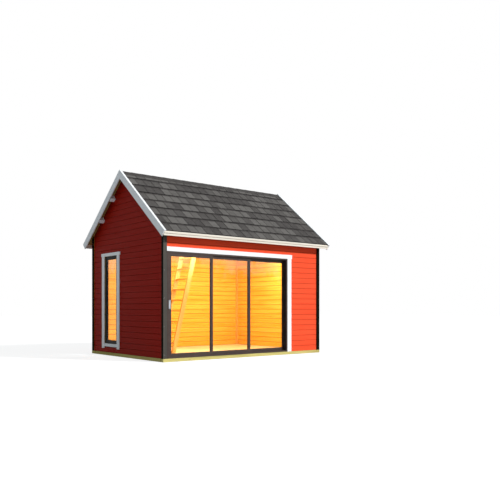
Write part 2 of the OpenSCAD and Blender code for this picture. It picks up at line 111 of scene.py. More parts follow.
class Field:
    """A number that varies over a surface or over points. Reckoning with it adds Math nodes."""

    def __init__(self, graph: "Graph", socket: bpy.types.NodeSocket) -> None:
        """Wraps an output socket of the graph."""
        self.graph = graph
        self.socket = socket

    def _math(self, operation: str, first: object, second: object = None) -> "Field":
        """Adds one Math node.

        Args:
            operation: The node's operation.
            first: Its first input, a number or a field.
            second: Its second input, or None where it takes one.

        Returns:
            The node's result.
        """
        inputs = {0: first} if second is None else {0: first, 1: second}
        made = self.graph.node("ShaderNodeMath", {"operation": operation}, inputs)
        return Field(self.graph, made.outputs[0])

    def __add__(self, other: object) -> "Field":
        """The sum."""
        return self._math("ADD", self, other)

    def __radd__(self, other: object) -> "Field":
        """The sum, with the field on the right."""
        return self._math("ADD", other, self)

    def __sub__(self, other: object) -> "Field":
        """The difference."""
        return self._math("SUBTRACT", self, other)

    def __rsub__(self, other: object) -> "Field":
        """The difference, with the field on the right."""
        return self._math("SUBTRACT", other, self)

    def __mul__(self, other: object) -> "Field":
        """The product."""
        return self._math("MULTIPLY", self, other)

    def __rmul__(self, other: object) -> "Field":
        """The product, with the field on the right."""
        return self._math("MULTIPLY", other, self)

    def __truediv__(self, other: object) -> "Field":
        """The quotient."""
        return self._math("DIVIDE", self, other)

    def __rtruediv__(self, other: object) -> "Field":
        """The quotient, with the field on the right."""
        return self._math("DIVIDE", other, self)

    def __pow__(self, other: object) -> "Field":
        """The power."""
        return self._math("POWER", self, other)

    def __abs__(self) -> "Field":
        """The size without its sign."""
        return self._math("ABSOLUTE", self)

    def floor(self) -> "Field":
        """The whole number below."""
        return self._math("FLOOR", self)

    def fraction(self) -> "Field":
        """What is over the whole number below."""
        return self._math("FRACT", self)

    def remainder(self, other: object) -> "Field":
        """What is left over from whole multiples of the other."""
        return self._math("MODULO", self, other)

    def at_least(self, other: object) -> "Field":
        """The greater of the two."""
        return self._math("MAXIMUM", self, other)

    def at_most(self, other: object) -> "Field":
        """The smaller of the two."""
        return self._math("MINIMUM", self, other)

    def ramp(self, low: float, high: float) -> "Field":
        """A smooth rise from 0 where the field is low to 1 where it is high.

        Args:
            low: The field's value at 0.
            high: The field's value at 1.

        Returns:
            The share from 0 to 1.
        """
        made = self.graph.node(
            "ShaderNodeMapRange",
            {"interpolation_type": "SMOOTHSTEP"},
            {"Value": self, "From Min": low, "From Max": high},
        )
        return Field(self.graph, made.outputs[0])


class Graph:
    """A node tree that is put together from Python expressions."""

    def __init__(self, tree: bpy.types.NodeTree) -> None:
        """Holds the tree, whose nodes are removed first."""
        self.tree = tree
        tree.nodes.clear()

    def feed(self, socket: bpy.types.NodeSocket, value: object) -> None:
        """Links or sets an input.

        Args:
            socket: The input.
            value: A field or an output to link, or a plain value to set.
        """
        if isinstance(value, Field):
            value = value.socket
        if isinstance(value, bpy.types.NodeSocket):
            self.tree.links.new(value, socket)
        else:
            socket.default_value = value

    def node(
        self, kind: str, settings: dict | None = None, inputs: dict | None = None
    ) -> bpy.types.Node:
        """Adds a node.

        Args:
            kind: The node's type.
            settings: Its properties, which are set first.
            inputs: Values or links for its inputs, by name or number.

        Returns:
            The node.
        """
        made = self.tree.nodes.new(kind)
        for key, value in (settings or {}).items():
            setattr(made, key, value)
        for key, value in (inputs or {}).items():
            self.feed(made.inputs[key], value)
        return made

    def seen(self) -> Field:
        """Tells what is looked at from what only gets or gives light.

        Returns:
            1 for what the camera sees, also in a mirror or through glass, and 0 elsewhere.
        """
        ray = self.node("ShaderNodeLightPath")
        direct, mirrored, through = (
            Field(self, ray.outputs[f"Is {kind} Ray"])
            for kind in ("Camera", "Glossy", "Transmission")
        )
        return direct.at_least(mirrored).at_least(through)


class SurfaceGraph(Graph):
    """The shader graph of one material."""

    def __init__(self, name: str) -> None:
        """Makes the material, with its output and its coordinates.

        Args:
            name: The material's name.
        """
        self.material = bpy.data.materials.new(name)
        self.material.use_nodes = True
        super().__init__(self.material.node_tree)
        self.output = self.node("ShaderNodeOutputMaterial")
        self.place = self.node("ShaderNodeTexCoord").outputs["Object"]

    def along(self, axis: Axis) -> Field:
        """The Object coordinate along an axis."""
        parts = self.node("ShaderNodeSeparateXYZ", None, {0: self.place})
        return Field(self, parts.outputs[axis.value])

    def scaled(self, scale: Point) -> bpy.types.NodeSocket:
        """The Object coordinates, times a scale along each axis."""
        made = self.node("ShaderNodeMapping", None, {"Vector": self.place, "Scale": scale})
        return made.outputs[0]

    def noise(self, scale: Point, detail: float = 4, roughness: float = 0.6) -> Field:
        """A cloudy pattern.

        Args:
            scale: How often it changes in a metre along each axis.
            detail: How many finer layers it has.
            roughness: How strong the finer layers are.

        Returns:
            The pattern, from 0 to 1.
        """
        made = self.node(
            "ShaderNodeTexNoise",
            None,
            {"Vector": self.scaled(scale), "Scale": 1.0, "Detail": detail, "Roughness": roughness},
        )
        return Field(self, made.outputs[0])

    def spots(self, scale: Point) -> bpy.types.Node:
        """Scattered cells, as many in a metre along each axis as the scale says."""
        return self.node(
            "ShaderNodeTexVoronoi", None, {"Vector": self.scaled(scale), "Scale": 1.0}
        )

    def random_of(self, number: Field) -> Field:
        """A random share from 0 to 1 that is the same wherever the number is the same."""
        made = self.node("ShaderNodeTexWhiteNoise", {"noise_dimensions": "1D"}, {"W": number})
        return Field(self, made.outputs["Value"])

    def mixed(self, share: object, first: object, second: object) -> bpy.types.NodeSocket:
        """A mix of two colours.

        Args:
            share: How much of the second colour there is.
            first: A colour or a link.
            second: A colour or a link.

        Returns:
            The mixed colour.
        """
        made = self.node("ShaderNodeMix", {"data_type": "RGBA", "clamp_factor": True})
        self.feed(made.inputs[0], share)
        self.feed(made.inputs[6], rgba(first) if isinstance(first, tuple) else first)
        self.feed(made.inputs[7], rgba(second) if isinstance(second, tuple) else second)
        return made.outputs[2]

    def raised(self, height: Field, depth: float, strength: float = 1.0) -> bpy.types.NodeSocket:
        """A normal that follows a relief.

        Args:
            height: The relief, from 0 to 1.
            depth: How deep it is.
            strength: How much of it shows.

        Returns:
            The normal.
        """
        made = self.node(
            "ShaderNodeBump", None, {"Height": height, "Distance": depth, "Strength": strength}
        )
        return made.outputs[0]

    def finish(self, **inputs: object) -> bpy.types.Material:
        """Closes the material with one main shader.

        Args:
            **inputs: Values or links for the shader's inputs, with _ for a space in a name.

        Returns:
            The material.
        """
        named = {key.replace("_", " "): value for key, value in inputs.items()}
        shader = self.node("ShaderNodeBsdfPrincipled", None, named)
        self.feed(self.output.inputs["Surface"], shader.outputs[0])
        return self.material

    def finish_mixed(
        self, share: Field, first: bpy.types.NodeSocket, second: bpy.types.NodeSocket
    ) -> bpy.types.Material:
        """Closes the material with a mix of two shaders.

        Args:
            share: How much of the second shader there is.
            first: The first shader's output.
            second: The second shader's output.

        Returns:
            The material.
        """
        mix = self.node("ShaderNodeMixShader", None, {0: share, 1: first, 2: second})
        self.feed(self.output.inputs["Surface"], mix.outputs[0])
        return self.material


class PointGraph(Graph):
    """A Geometry Nodes tree with named inputs that ends in realized, dressed instances."""

    def __init__(self, name: str, inputs: dict[str, tuple[str, object]]) -> None:
        """Makes the tree.

        Args:
            name: The tree's name.
            inputs: Socket type and default value of each named input.
        """
        tree = bpy.data.node_groups.new(name, "GeometryNodeTree")
        super().__init__(tree)
        face = tree.interface
        face.new_socket("Geometry", in_out="OUTPUT", socket_type="NodeSocketGeometry")
        face.new_socket("Unit", in_out="INPUT", socket_type="NodeSocketGeometry")
        self.identifiers = {}
        for key, (kind, default) in inputs.items():
            socket = face.new_socket(key, in_out="INPUT", socket_type=kind)
            if default is not None:
                socket.default_value = default
            self.identifiers[key] = socket.identifier
        self.inputs = self.node("NodeGroupInput").outputs

    def given(self, name: str) -> Field:
        """The value of a named input."""
        return Field(self, self.inputs[name])

    def index(self) -> Field:
        """The number of each point."""
        return Field(self, self.node("GeometryNodeInputIndex").outputs[0])

    def random(self, low: object, high: object, seed: object) -> Field:
        """A random number for each point, from low to high."""
        made = self.node(
            "FunctionNodeRandomValue", {"data_type": "FLOAT"}, {2: low, 3: high, 8: seed}
        )
        return Field(self, made.outputs[1])

    def end(self, instances: bpy.types.NodeSocket) -> None:
        """Realizes the instances and gives them their material.

        Args:
            instances: The instances.
        """
        real = self.node("GeometryNodeRealizeInstances", None, {0: instances})
        dressed = self.node(
            "GeometryNodeSetMaterial",
            None,
            {"Geometry": real.outputs[0], "Material": self.inputs["Material"]},
        )
        out = self.node("NodeGroupOutput")
        self.feed(out.inputs[0], dressed.outputs[0])

    def run(self, unit: bpy.types.Mesh, values: dict[str, object]) -> bpy.types.Mesh:
        """Runs the tree on a unit piece.

        Args:
            unit: The mesh that is repeated.
            values: The inputs' values by name.

        Returns:
            The plain mesh that it makes.
        """
        carrier = new_object(f"{self.tree.name}_unit", unit)
        modifier = carrier.modifiers.new("repeat", "NODES")
        modifier.node_group = self.tree
        for key, value in values.items():
            modifier[self.identifiers[key]] = value
        mesh = evaluated_mesh(carrier)
        bpy.data.objects.remove(carrier)
        return mesh


class RowGraph(PointGraph):
    """A tree that repeats its unit along a straight line."""

    def __init__(self) -> None:
        """Makes the tree, with the inputs Count, Start, Step and Material."""
        super().__init__(
            "row",
            {
                "Count": ("NodeSocketInt", 2),
                "Start": ("NodeSocketVector", None),
                "Step": ("NodeSocketVector", None),
                "Material": ("NodeSocketMaterial", None),
            },
        )
        line = self.node(
            "GeometryNodeMeshLine",
            {"mode": "OFFSET"},
            {
                "Count": self.inputs["Count"],
                "Start Location": self.inputs["Start"],
                "Offset": self.inputs["Step"],
            },
        )
        placed = self.node(
            "GeometryNodeInstanceOnPoints",
            None,
            {"Points": line.outputs[0], "Instance": self.inputs["Unit"]},
        )
        self.end(placed.outputs[0])

    def lay(
        self,
        unit: bpy.types.Mesh,
        count: int,
        start: Point,
        step: Point,
        material: bpy.types.Material,
    ) -> bpy.types.Mesh:
        """Lays copies of a piece in a row.

        Args:
            unit: The piece.
            count: How many copies there are.
            start: How far the first copy is moved.
            step: How far each copy is moved from the one before.
            material: Their material.

        Returns:
            The mesh of all the copies.
        """
        return self.run(
            unit, {"Count": count, "Start": start, "Step": step, "Material": material}
        )


def tab_tree() -> PointGraph:
    """A tree that lays shingle tabs in courses on a flat slope.

    X runs along the roof, Y down the slope and Z square to it.

    Returns:
        The tree, with inputs for the courses, the tabs and how unevenly they lie.
    """
    number, whole = "NodeSocketFloat", "NodeSocketInt"
    graph = PointGraph(
        "shingle_tabs",
        {
            "Courses": (whole, 8),
            "Tabs": (whole, 20),
            "Length": (number, 4.0),
            "Tab width": (number, 0.3),
            "Exposure": (number, 0.28),
            "First run": (number, 0.3),
            "Stray": (number, 0.06),
            "Lift": (number, 0.003),
            "Ragged": (number, 0.006),
            "Seed": (whole, 1),
            "Material": ("NodeSocketMaterial", None),
        },
    )
    tabs = graph.given("Tabs")
    index = graph.index()
    course = (index / tabs + 0.0001).floor()
    place = index - course * tabs
    room = graph.given("Length") - graph.given("Tab width")
    seed = graph.given("Seed")
    stray = graph.given("Stray")
    stagger = course.remainder(2.0) * 0.5
    even = (place + stagger + 0.25 - tabs * 0.5) / (tabs - 1.5) * room
    x = (even + graph.random(-1.0, 1.0, seed) * stray).at_least(room * -0.5).at_most(room * 0.5)
    ragged = graph.random(-1.0, 1.0, seed + 1.0) * graph.given("Ragged")
    y = graph.given("First run") + course * graph.given("Exposure") + ragged
    z = graph.random(0.0, 1.0, seed + 2.0) * graph.given("Lift")
    where = graph.node("ShaderNodeCombineXYZ", None, {0: x, 1: y, 2: z})
    points = graph.node(
        "GeometryNodePoints",
        None,
        {"Count": (graph.given("Courses") * tabs).socket, "Position": where.outputs[0]},
    )
    placed = graph.node(
        "GeometryNodeInstanceOnPoints",
        None,
        {"Points": points.outputs[0], "Instance": graph.inputs["Unit"]},
    )
    toned = graph.node(
        "GeometryNodeStoreNamedAttribute",
        {"data_type": "FLOAT", "domain": "INSTANCE"},
        {"Geometry": placed.outputs[0], "Name": "tone"},
    )
    graph.feed(toned.inputs["Value"], graph.random(0.0, 1.0, seed + 3.0))
    graph.end(toned.outputs[0])
    return graph


# ---------------------------------------------------------------- finishes


@dataclass(frozen=True)
class Timber:
    """Sawn or planed timber, bare or painted, with its grain along one axis.

    Attributes:
        name: The material's name.
        colour: The main colour.
        dark: The colour of the grain's darker streaks.
        grain: The axis that the grain follows.
        streak: How much of the darker streaks shows.
        roughness: How matt the surface is.
        coat: How much of a varnish or gloss paint lies on it.
        relief: How deep the grain is.
        gloss: How strongly it mirrors.
        boards: The axis across the boards, where their tone changes from one to the next.
        pitch: The width of a board.
        start: Where the first board starts.
        board_change: How much a board's tone differs from the next one's.
        joint: How dark the joints between boards are.
        knots: How dark the knots are.
    """

    name: str
    colour: Colour
    dark: Colour
    grain: Axis
    streak: float = 0.5
    roughness: float = 0.55
    coat: float = 0.0
    relief: float = 0.0008
    gloss: float = 0.15
    boards: Axis | None = None
    pitch: float = 0.12
    start: float = 0.065
    board_change: float = 0.15
    joint: float = 0.0
    knots: float = 0.0

    def _stretched(self, fine: float, long: float) -> Point:
        """A scale that is fine across the grain and long along it."""
        return tuple(long if axis is self.grain else fine for axis in Axis)

    def build(self) -> bpy.types.Material:
        """Makes the material.

        Returns:
            The material.
        """
        graph = SurfaceGraph(self.name)
        broad = graph.noise(self._stretched(14.0, 0.8), 5, 0.55)
        fine = graph.noise(self._stretched(170.0, 3.5), 3, 0.6)
        grain = broad * 0.6 + fine * 0.4
        share = grain.ramp(0.36, 0.66) * self.streak
        tone = graph.noise((1.3, 1.3, 1.3), 2, 0.5) * 0.5
        if self.boards is not None:
            across = (graph.along(self.boards) - self.start) / self.pitch
            own = graph.random_of(across.floor() + 0.5)
            tone = tone * 0.3 + own * 0.7
            share = (share + (own - 0.5) * self.board_change).at_least(0.0)
        colour = graph.mixed(share, self.colour, self.dark)
        light = tuple(min(1.0, channel * 1.12) for channel in self.colour)
        colour = graph.mixed(tone * 0.5, colour, light)
        height = grain
        if self.knots:
            cells = graph.spots(self._stretched(7.0, 2.2))
            knot = 1.0 - Field(graph, cells.outputs["Distance"]).ramp(0.03, 0.1)
            shade = tuple(channel * 0.45 for channel in self.dark)
            colour = graph.mixed(knot * self.knots, colour, shade)
        if self.joint and self.boards is not None:
            edge = abs((across + 0.5).fraction() - 0.5)
            line = 1.0 - edge.ramp(0.02, 0.06)
            shade = tuple(channel * 0.12 for channel in self.colour)
            colour = graph.mixed(line * self.joint, colour, shade)
        return graph.finish(
            Base_Color=colour,
            Roughness=(grain * 0.2 + (self.roughness - 0.1)),
            Specular_IOR_Level=self.gloss,
            Coat_Weight=self.coat,
            Coat_Roughness=0.25,
            Normal=graph.raised(height, self.relief),
        )


@dataclass(frozen=True)
class Shingle:
    """Mineral granules on roofing felt, each tab in a tone of its own, with a painted shadow under
    the lower edge of each course above.

    Attributes:
        name: The material's name.
        darkest: The colour of the darkest tab.
        lightest: The colour of the lightest tab.
        by_tab: Whether the mesh says each tab's tone.
        lines: The heights of the highest course's lower edge and of one course's step.
        band: How much of each course lies in the painted shadow under the course above.
    """

    name: str = "shingle_granules"
    darkest: Colour = srgb(26, 20, 19)
    lightest: Colour = srgb(90, 87, 84)
    by_tab: bool = True
    lines: tuple[float, float] = (3.815, 0.1817)
    band: float = 0.2

    def build(self) -> bpy.types.Material:
        """Makes the material.

        Returns:
            The material.
        """
        graph = SurfaceGraph(self.name)
        grit = graph.noise((420.0, 420.0, 420.0), 2, 0.7)
        cloud = graph.noise((5.0, 9.0, 9.0), 3, 0.6)
        tone = cloud.ramp(0.3, 0.7) * 0.2 + 0.1
        if self.by_tab:
            own = graph.node("ShaderNodeAttribute", {"attribute_name": "tone"})
            tone = tone + Field(graph, own.outputs["Fac"]) ** 1.3 * 0.9
        colour = graph.mixed(tone, self.darkest, self.lightest)
        if self.by_tab:
            # Painted shadow: a dark strip on each course just under the lower edge of the course
            # above.
            first, step = self.lines
            down = (first - graph.along(Axis.Z)) / step
            band = 1.0 - down.fraction().ramp(self.band * 0.7, self.band)
            colour = graph.mixed(band * 0.9, colour, srgb(26, 20, 19))
        colour = graph.mixed(grit.ramp(0.56, 0.72) * 0.45, colour, srgb(150, 146, 142))
        colour = graph.mixed((1.0 - grit).ramp(0.56, 0.72) * 0.5, colour, srgb(24, 23, 23))
        return graph.finish(
            Base_Color=colour,
            Roughness=0.92,
            Normal=graph.raised(grit, 0.0012, 0.8),
        )


@dataclass(frozen=True)
class PowderCoat:
    """Metal or plastic profiles with a satin coating that has a fine orange peel.

    Attributes:
        name: The material's name.
        colour: The coating's colour.
        worn: The colour where hands and weather have dulled it.
        roughness: How matt it is.
        metallic: How much of it is bare metal.
        peel: How often the peel rises in a metre.
        gloss: How strongly it mirrors.
    """

    name: str
    colour: Colour
    worn: Colour
    roughness: float = 0.42
    metallic: float = 0.0
    peel: float = 700.0
    gloss: float = 0.25

    def build(self) -> bpy.types.Material:
        """Makes the material.

        Returns:
            The material.
        """
        graph = SurfaceGraph(self.name)
        peel = graph.noise((self.peel, self.peel, self.peel), 1, 0.5)
        dust = graph.noise((3.0, 3.0, 6.0), 4, 0.65)
        colour = graph.mixed(dust.ramp(0.4, 0.75) * 0.5, self.colour, self.worn)
        return graph.finish(
            Base_Color=colour,
            Metallic=self.metallic,
            Specular_IOR_Level=self.gloss,
            Roughness=dust * 0.16 + (self.roughness - 0.08),
            Normal=graph.raised(peel, 0.0002, 0.6),
        )


@dataclass(frozen=True)
class PaneGlass:
    """Clear double glass that lets light through and mirrors a little, and more over its upper
    part as a painted reflection.

    Attributes:
        name: The material's name.
        tint: The colour of what is seen through it.
        mirror: The mirror's colour, a pink tint that is a painted reflection.
        top_reflection: How much more it mirrors over its upper part, a painted reflection.
        top_reflection_heights: Between which heights the painted reflection sets in.
        mottle: How far up and down the painted reflection's edge wanders.
    """

    name: str = "clear_glass"
    tint: Colour = (0.985, 0.99, 0.985)
    mirror: Colour = (1.0, 0.86, 0.80)
    top_reflection: float = 0.09
    top_reflection_heights: tuple[float, float] = (2.42, 2.8)
    mottle: float = 1.3

    def build(self) -> bpy.types.Material:
        """Makes the material.

        Returns:
            The material.
        """
        graph = SurfaceGraph(self.name)
        # Painted reflection: the glass mirrors more above a wandering height, in a pink tint.
        reflection_edge_noise = graph.noise((2.6, 2.6, 1.8), 6, 0.68)
        top_reflection = (reflection_edge_noise * self.mottle + graph.along(Axis.Z)).ramp(*self.top_reflection_heights)
        clear = graph.node("ShaderNodeBsdfTransparent", None, {"Color": rgba(self.tint)})
        gloss = graph.node("ShaderNodeBsdfGlossy", None, {"Color": rgba(self.mirror)})
        graph.feed(gloss.inputs["Roughness"], 0.02)
        weight = graph.node("ShaderNodeLayerWeight", None, {"Blend": 0.5})
        glance = Field(graph, weight.outputs["Facing"]) ** 5.0 * 0.6 + 0.004
        share = glance + top_reflection * self.top_reflection
        return graph.finish_mixed(share, clear.outputs[0], gloss.outputs[0])


@dataclass(frozen=True)
class Rubber:
    """Black glazing rubber with a faint bloom.

    Attributes:
        name: The material's name.
        colour: Its colour.
        bloom: The colour of its dusty bloom.
    """

    name: str = "glazing_rubber"
    colour: Colour = (0.012, 0.012, 0.013)
    bloom: Colour = (0.06, 0.06, 0.058)

    def build(self) -> bpy.types.Material:
        """Makes the material.

        Returns:
            The material.
        """
        graph = SurfaceGraph(self.name)
        dust = graph.noise((30.0, 30.0, 30.0), 4, 0.7)
        colour = graph.mixed(dust.ramp(0.45, 0.75), self.colour, self.bloom)
        return graph.finish(
            Base_Color=colour, Roughness=0.8, Normal=graph.raised(dust, 0.0003, 0.5)
        )


RED, RED_DARK = srgb(252, 88, 52), srgb(222, 62, 34)
# This pair is painted shade: a darker copy of the walls' red paint, used on the gables.
SHADED_GABLE_RED, SHADED_GABLE_RED_STREAK = srgb(150, 22, 5), srgb(124, 15, 4)
PINE, PINE_DARK = srgb(253, 197, 72), srgb(238, 152, 32)
WHITE, WHITE_DARK = srgb(248, 250, 251), srgb(226, 230, 234)
CREAM, CREAM_DARK = srgb(236, 228, 214), srgb(212, 202, 186)
CHARCOAL, CHARCOAL_GRAIN = srgb(76, 72, 66), srgb(50, 47, 43)
# The next pair is painted shade: a darker copy of the charcoal corner paint, for the corner boards
# away from the door.
CORNER_PAINTED_SHADE, CORNER_PAINTED_SHADE_GRAIN = srgb(18, 19, 14), srgb(10, 11, 8)
TREATED, TREATED_DARK = srgb(214, 200, 126), srgb(160, 148, 82)


@dataclass
class Finishes:
    """Every material of the shed, each made once.

    Attributes:
        made: The materials by name.
    """

    made: dict[str, bpy.types.Material] = field(default_factory=dict)

    def _once(self, finish: object) -> bpy.types.Material:
        """Makes a finish's material the first time that it is asked for.

        Args:
            finish: The finish, whose name stands for it.

        Returns:
            The material.
        """
        if finish.name not in self.made:
            self.made[finish.name] = finish.build()
        return self.made[finish.name]

    def red(self, grain: Axis) -> bpy.types.Material:
        """Red paint on the wall planks, and on the gables a darker copy of it, which is painted
        shade.
        """
        # Painted shade: the gables' planks, whose grain runs along Y, get the darker copy of the
        # red paint.
        tones = (RED, RED_DARK) if grain is Axis.X else (SHADED_GABLE_RED, SHADED_GABLE_RED_STREAK)
        return self._once(
            Timber(f"red_paint_{grain.name}", *tones, grain, 0.45, 0.55, boards=Axis.Z,
                   joint=0.5, board_change=0.3, gloss=0.05)
        )

    def pine_wall(self, grain: Axis) -> bpy.types.Material:
        """Bare pine on the room's side of the wall planks."""
        return self._once(
            Timber(f"pine_planks_{grain.name}", PINE, PINE_DARK, grain, 0.95, 0.5, 0.1,
                   boards=Axis.Z, joint=0.8, board_change=0.6, knots=0.75)
        )

    def pine(self, grain: Axis) -> bpy.types.Material:
        """Bare pine of posts, joists and the ladder."""
        return self._once(
            Timber(f"pine_{grain.name}", srgb(238, 176, 84), srgb(214, 140, 52), grain, 0.6,
                   0.5, 0.05, knots=0.45)
        )

    def pine_floor(self, boards: Axis, start: float, pitch: float) -> bpy.types.Material:
        """Bare pine of a floor whose boards run along X."""
        return self._once(
            Timber(f"pine_floor_{boards.name}_{round(start * 1000)}", srgb(255, 226, 160),
                   srgb(238, 186, 108), Axis.X, 0.7, 0.42, 0.25, boards=boards, start=start,
                   pitch=pitch, board_change=0.4, knots=0.4)
        )

    def soffit(self) -> bpy.types.Material:
        """Bare pine of the roof boards."""
        return self._once(
            Timber("pine_roof_boards", srgb(176, 146, 88), srgb(128, 96, 50), Axis.X, 0.7, 0.6,
                   boards=Axis.Z, pitch=0.075, board_change=0.4, knots=0.4)
        )

    def white(self, grain: Axis) -> bpy.types.Material:
        """White paint on planed boards."""
        return self._once(
            Timber(f"white_paint_{grain.name}", WHITE, WHITE_DARK, grain, 0.45, 0.45, 0.03, 0.0004)
        )

    def cream(self) -> bpy.types.Material:
        """Off-white paint on the eave boards."""
        return self._once(
            Timber("eave_paint_X", CREAM, CREAM_DARK, Axis.X, 0.5, 0.5, 0.03, 0.0004)
        )

    def charcoal(self) -> bpy.types.Material:
        """Charcoal paint on the corner board beside the door."""
        return self._once(
            Timber("charcoal_paint", CHARCOAL, CHARCOAL_GRAIN, Axis.Z, 0.6, 0.5, 0.0, 0.0005)
        )

    def corner_painted_shade(self) -> bpy.types.Material:
        """A darker copy of the charcoal on the other corner boards: painted shade on their
        gable-side faces and on the right corner.
        """
        return self._once(
            Timber("corner_paint_painted_shade", CORNER_PAINTED_SHADE, CORNER_PAINTED_SHADE_GRAIN, Axis.Z, 0.6, 0.7, 0.0, 0.0005, 0.02)
        )

    def treated(self, grain: Axis) -> bpy.types.Material:
        """Pressure-treated timber of the soles and floor joists."""
        return self._once(
            Timber(f"treated_timber_{grain.name}", TREATED, TREATED_DARK, grain, 0.9, 0.8,
                   relief=0.0012, knots=0.35)
        )

    def shingle(self) -> bpy.types.Material:
        """Granules of the shingle tabs."""
        return self._once(Shingle())

    def ridge_shingle(self) -> bpy.types.Material:
        """Granules of the folded pieces along the ridge."""
        return self._once(Shingle("shingle_ridge", by_tab=False))

    def butt(self) -> bpy.types.Material:
        """The dark cut edges of the shingles, and the sheets under the tabs: the felt's own dark
        edge, and painted shade in the slots and along the butts.
        """
        return self._once(
            PowderCoat("shingle_edge_painted_shade", srgb(14, 13, 13), srgb(26, 25, 24), 0.9, 0.0, 400.0)
        )

    def frame(self) -> bpy.types.Material:
        """The door's dark profiles."""
        return self._once(PowderCoat("door_profile", srgb(60, 47, 42), srgb(80, 66, 59)))

    def window(self) -> bpy.types.Material:
        """The gable window's dark frame."""
        return self._once(
            PowderCoat("window_profile", srgb(12, 12, 11), srgb(22, 21, 20), 0.5, gloss=0.1)
        )

    def handle(self) -> bpy.types.Material:
        """The pull handle's satin white."""
        return self._once(
            PowderCoat("handle_coat", srgb(232, 236, 240), srgb(206, 210, 214), 0.3, 0.0, 900.0)
        )

    def screw(self) -> bpy.types.Material:
        """Zinc-plated screw heads."""
        return self._once(
            PowderCoat("screw_zinc", srgb(196, 198, 200), srgb(150, 152, 154), 0.35, 0.85, 900.0)
        )

    def roller(self) -> bpy.types.Material:
        """The rollers' moulded grey."""
        return self._once(
            PowderCoat("roller_moulding", srgb(150, 150, 152), srgb(110, 110, 112), 0.5)
        )

    def glass(self) -> bpy.types.Material:
        """The panes."""
        return self._once(PaneGlass())

    def rubber(self) -> bpy.types.Material:
        """The glazing beads."""
        return self._once(Rubber())


# ---------------------------------------------------------------- mesh helpers


def evaluated_mesh(thing: bpy.types.Object) -> bpy.types.Mesh:
    """The plain mesh of an object with its modifiers applied."""
    graph = bpy.context.evaluated_depsgraph_get()
    return bpy.data.meshes.new_from_object(thing.evaluated_get(graph))


def new_object(name: str, data: bpy.types.ID) -> bpy.types.Object:
    """Puts a mesh, a lamp or a camera into the scene.

    Args:
        name: The object's name.
        data: What it holds.

    Returns:
        The new object.
    """
    thing = bpy.data.objects.new(name, data)
    bpy.context.scene.collection.objects.link(thing)
    return thing


def opened(mesh: bpy.types.Mesh) -> bmesh.types.BMesh:
    """Makes an editable copy of loose triangles, with their corners merged.

    Args:
        mesh: The mesh, which stays as it is.

    Returns:
        The copy.
    """
    made = bmesh.new()
    made.from_mesh(mesh)
    bmesh.ops.remove_doubles(made, verts=made.verts, dist=1e-5)
    return made


def closed(made: bmesh.types.BMesh, name: str) -> bpy.types.Mesh:
    """Turns an editable mesh into a plain one, and frees it.

    Args:
        made: The editable mesh.
        name: The plain mesh's name.

    Returns:
        The plain mesh.
    """
    mesh = bpy.data.meshes.new(name)
    made.to_mesh(mesh)
    made.free()
    return mesh


def prism(
    name: str, outline: list[tuple[float, float]], start: float, end: float
) -> bpy.types.Mesh:
    """A closed bar along X with the given outline in Y and Z.

    Args:
        name: The mesh's name.
        outline: The corners, in order.
        start: Where it starts along X.
        end: Where it ends along X.

    Returns:
        The mesh, with its faces outward.
    """
    made = bmesh.new()
    near = [made.verts.new((start, y, z)) for y, z in outline]
    far = [made.verts.new((end, y, z)) for y, z in outline]
    made.faces.new(near)
    made.faces.new(far)
    for i, corner in enumerate(near):
        after = (i + 1) % len(near)
        made.faces.new((corner, near[after], far[after], far[i]))
    bmesh.ops.recalc_face_normals(made, faces=made.faces)
    return closed(made, name)


def boxes(name: str, corners: Iterable[tuple[Point, Point]]) -> bpy.types.Mesh:
    """Makes closed boxes in one mesh.

    Args:
        name: The mesh's name.
        corners: Each box's low and high corner.

    Returns:
        The mesh.
    """
    made = bmesh.new()
    for low, high in corners:
        low, high = Vector(low), Vector(high)
        place = Matrix.Translation((low + high) / 2) @ Matrix.Diagonal((*(high - low), 1))
        bmesh.ops.create_cube(made, size=1, matrix=place)
    return closed(made, name)


def softened(mesh: bpy.types.Mesh, radius: float, steps: int = 2) -> bpy.types.Mesh:
    """A copy whose sharp edges are rounded.

    Args:
        mesh: The mesh, which may be loose triangles.
        radius: How far the rounding reaches from an edge.
        steps: How many faces it has.

    Returns:
        The new mesh.
    """
    made = opened(mesh)
    bmesh.ops.dissolve_limit(
        made, angle_limit=math.radians(1), verts=made.verts, edges=made.edges
    )
    sharp = [
        edge
        for edge in made.edges
        if len(edge.link_faces) == 2 and edge.calc_face_angle(0) > math.radians(25)
    ]
    bmesh.ops.bevel(
        made, geom=sharp, offset=radius, segments=steps, profile=0.5, affect="EDGES",
        clamp_overlap=True,
    )
    return closed(made, mesh.name + "_soft")


def softened_node(node: str, radius: float, steps: int = 2) -> bpy.types.Mesh:
    """A CAD node's mesh with its sharp edges rounded, by a radius and in some steps."""
    return softened(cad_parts[node].data, radius, steps)


def cut_to(mesh: bpy.types.Mesh, node: str) -> bpy.types.Mesh:
    """The part of a mesh that lies inside a CAD node.

    Args:
        mesh: Closed pieces.
        node: The CAD node.

    Returns:
        The new mesh.
    """
    cutter = new_object("cutter", closed(opened(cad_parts[node].data), "shape"))
    carrier = new_object("carrier", mesh)
    modifier = carrier.modifiers.new("cut", "BOOLEAN")
    modifier.operation = "INTERSECT"
    modifier.solver = "EXACT"
    modifier.object = cutter
    result = evaluated_mesh(carrier)
    bpy.data.objects.remove(carrier)
    bpy.data.objects.remove(cutter)
    return result


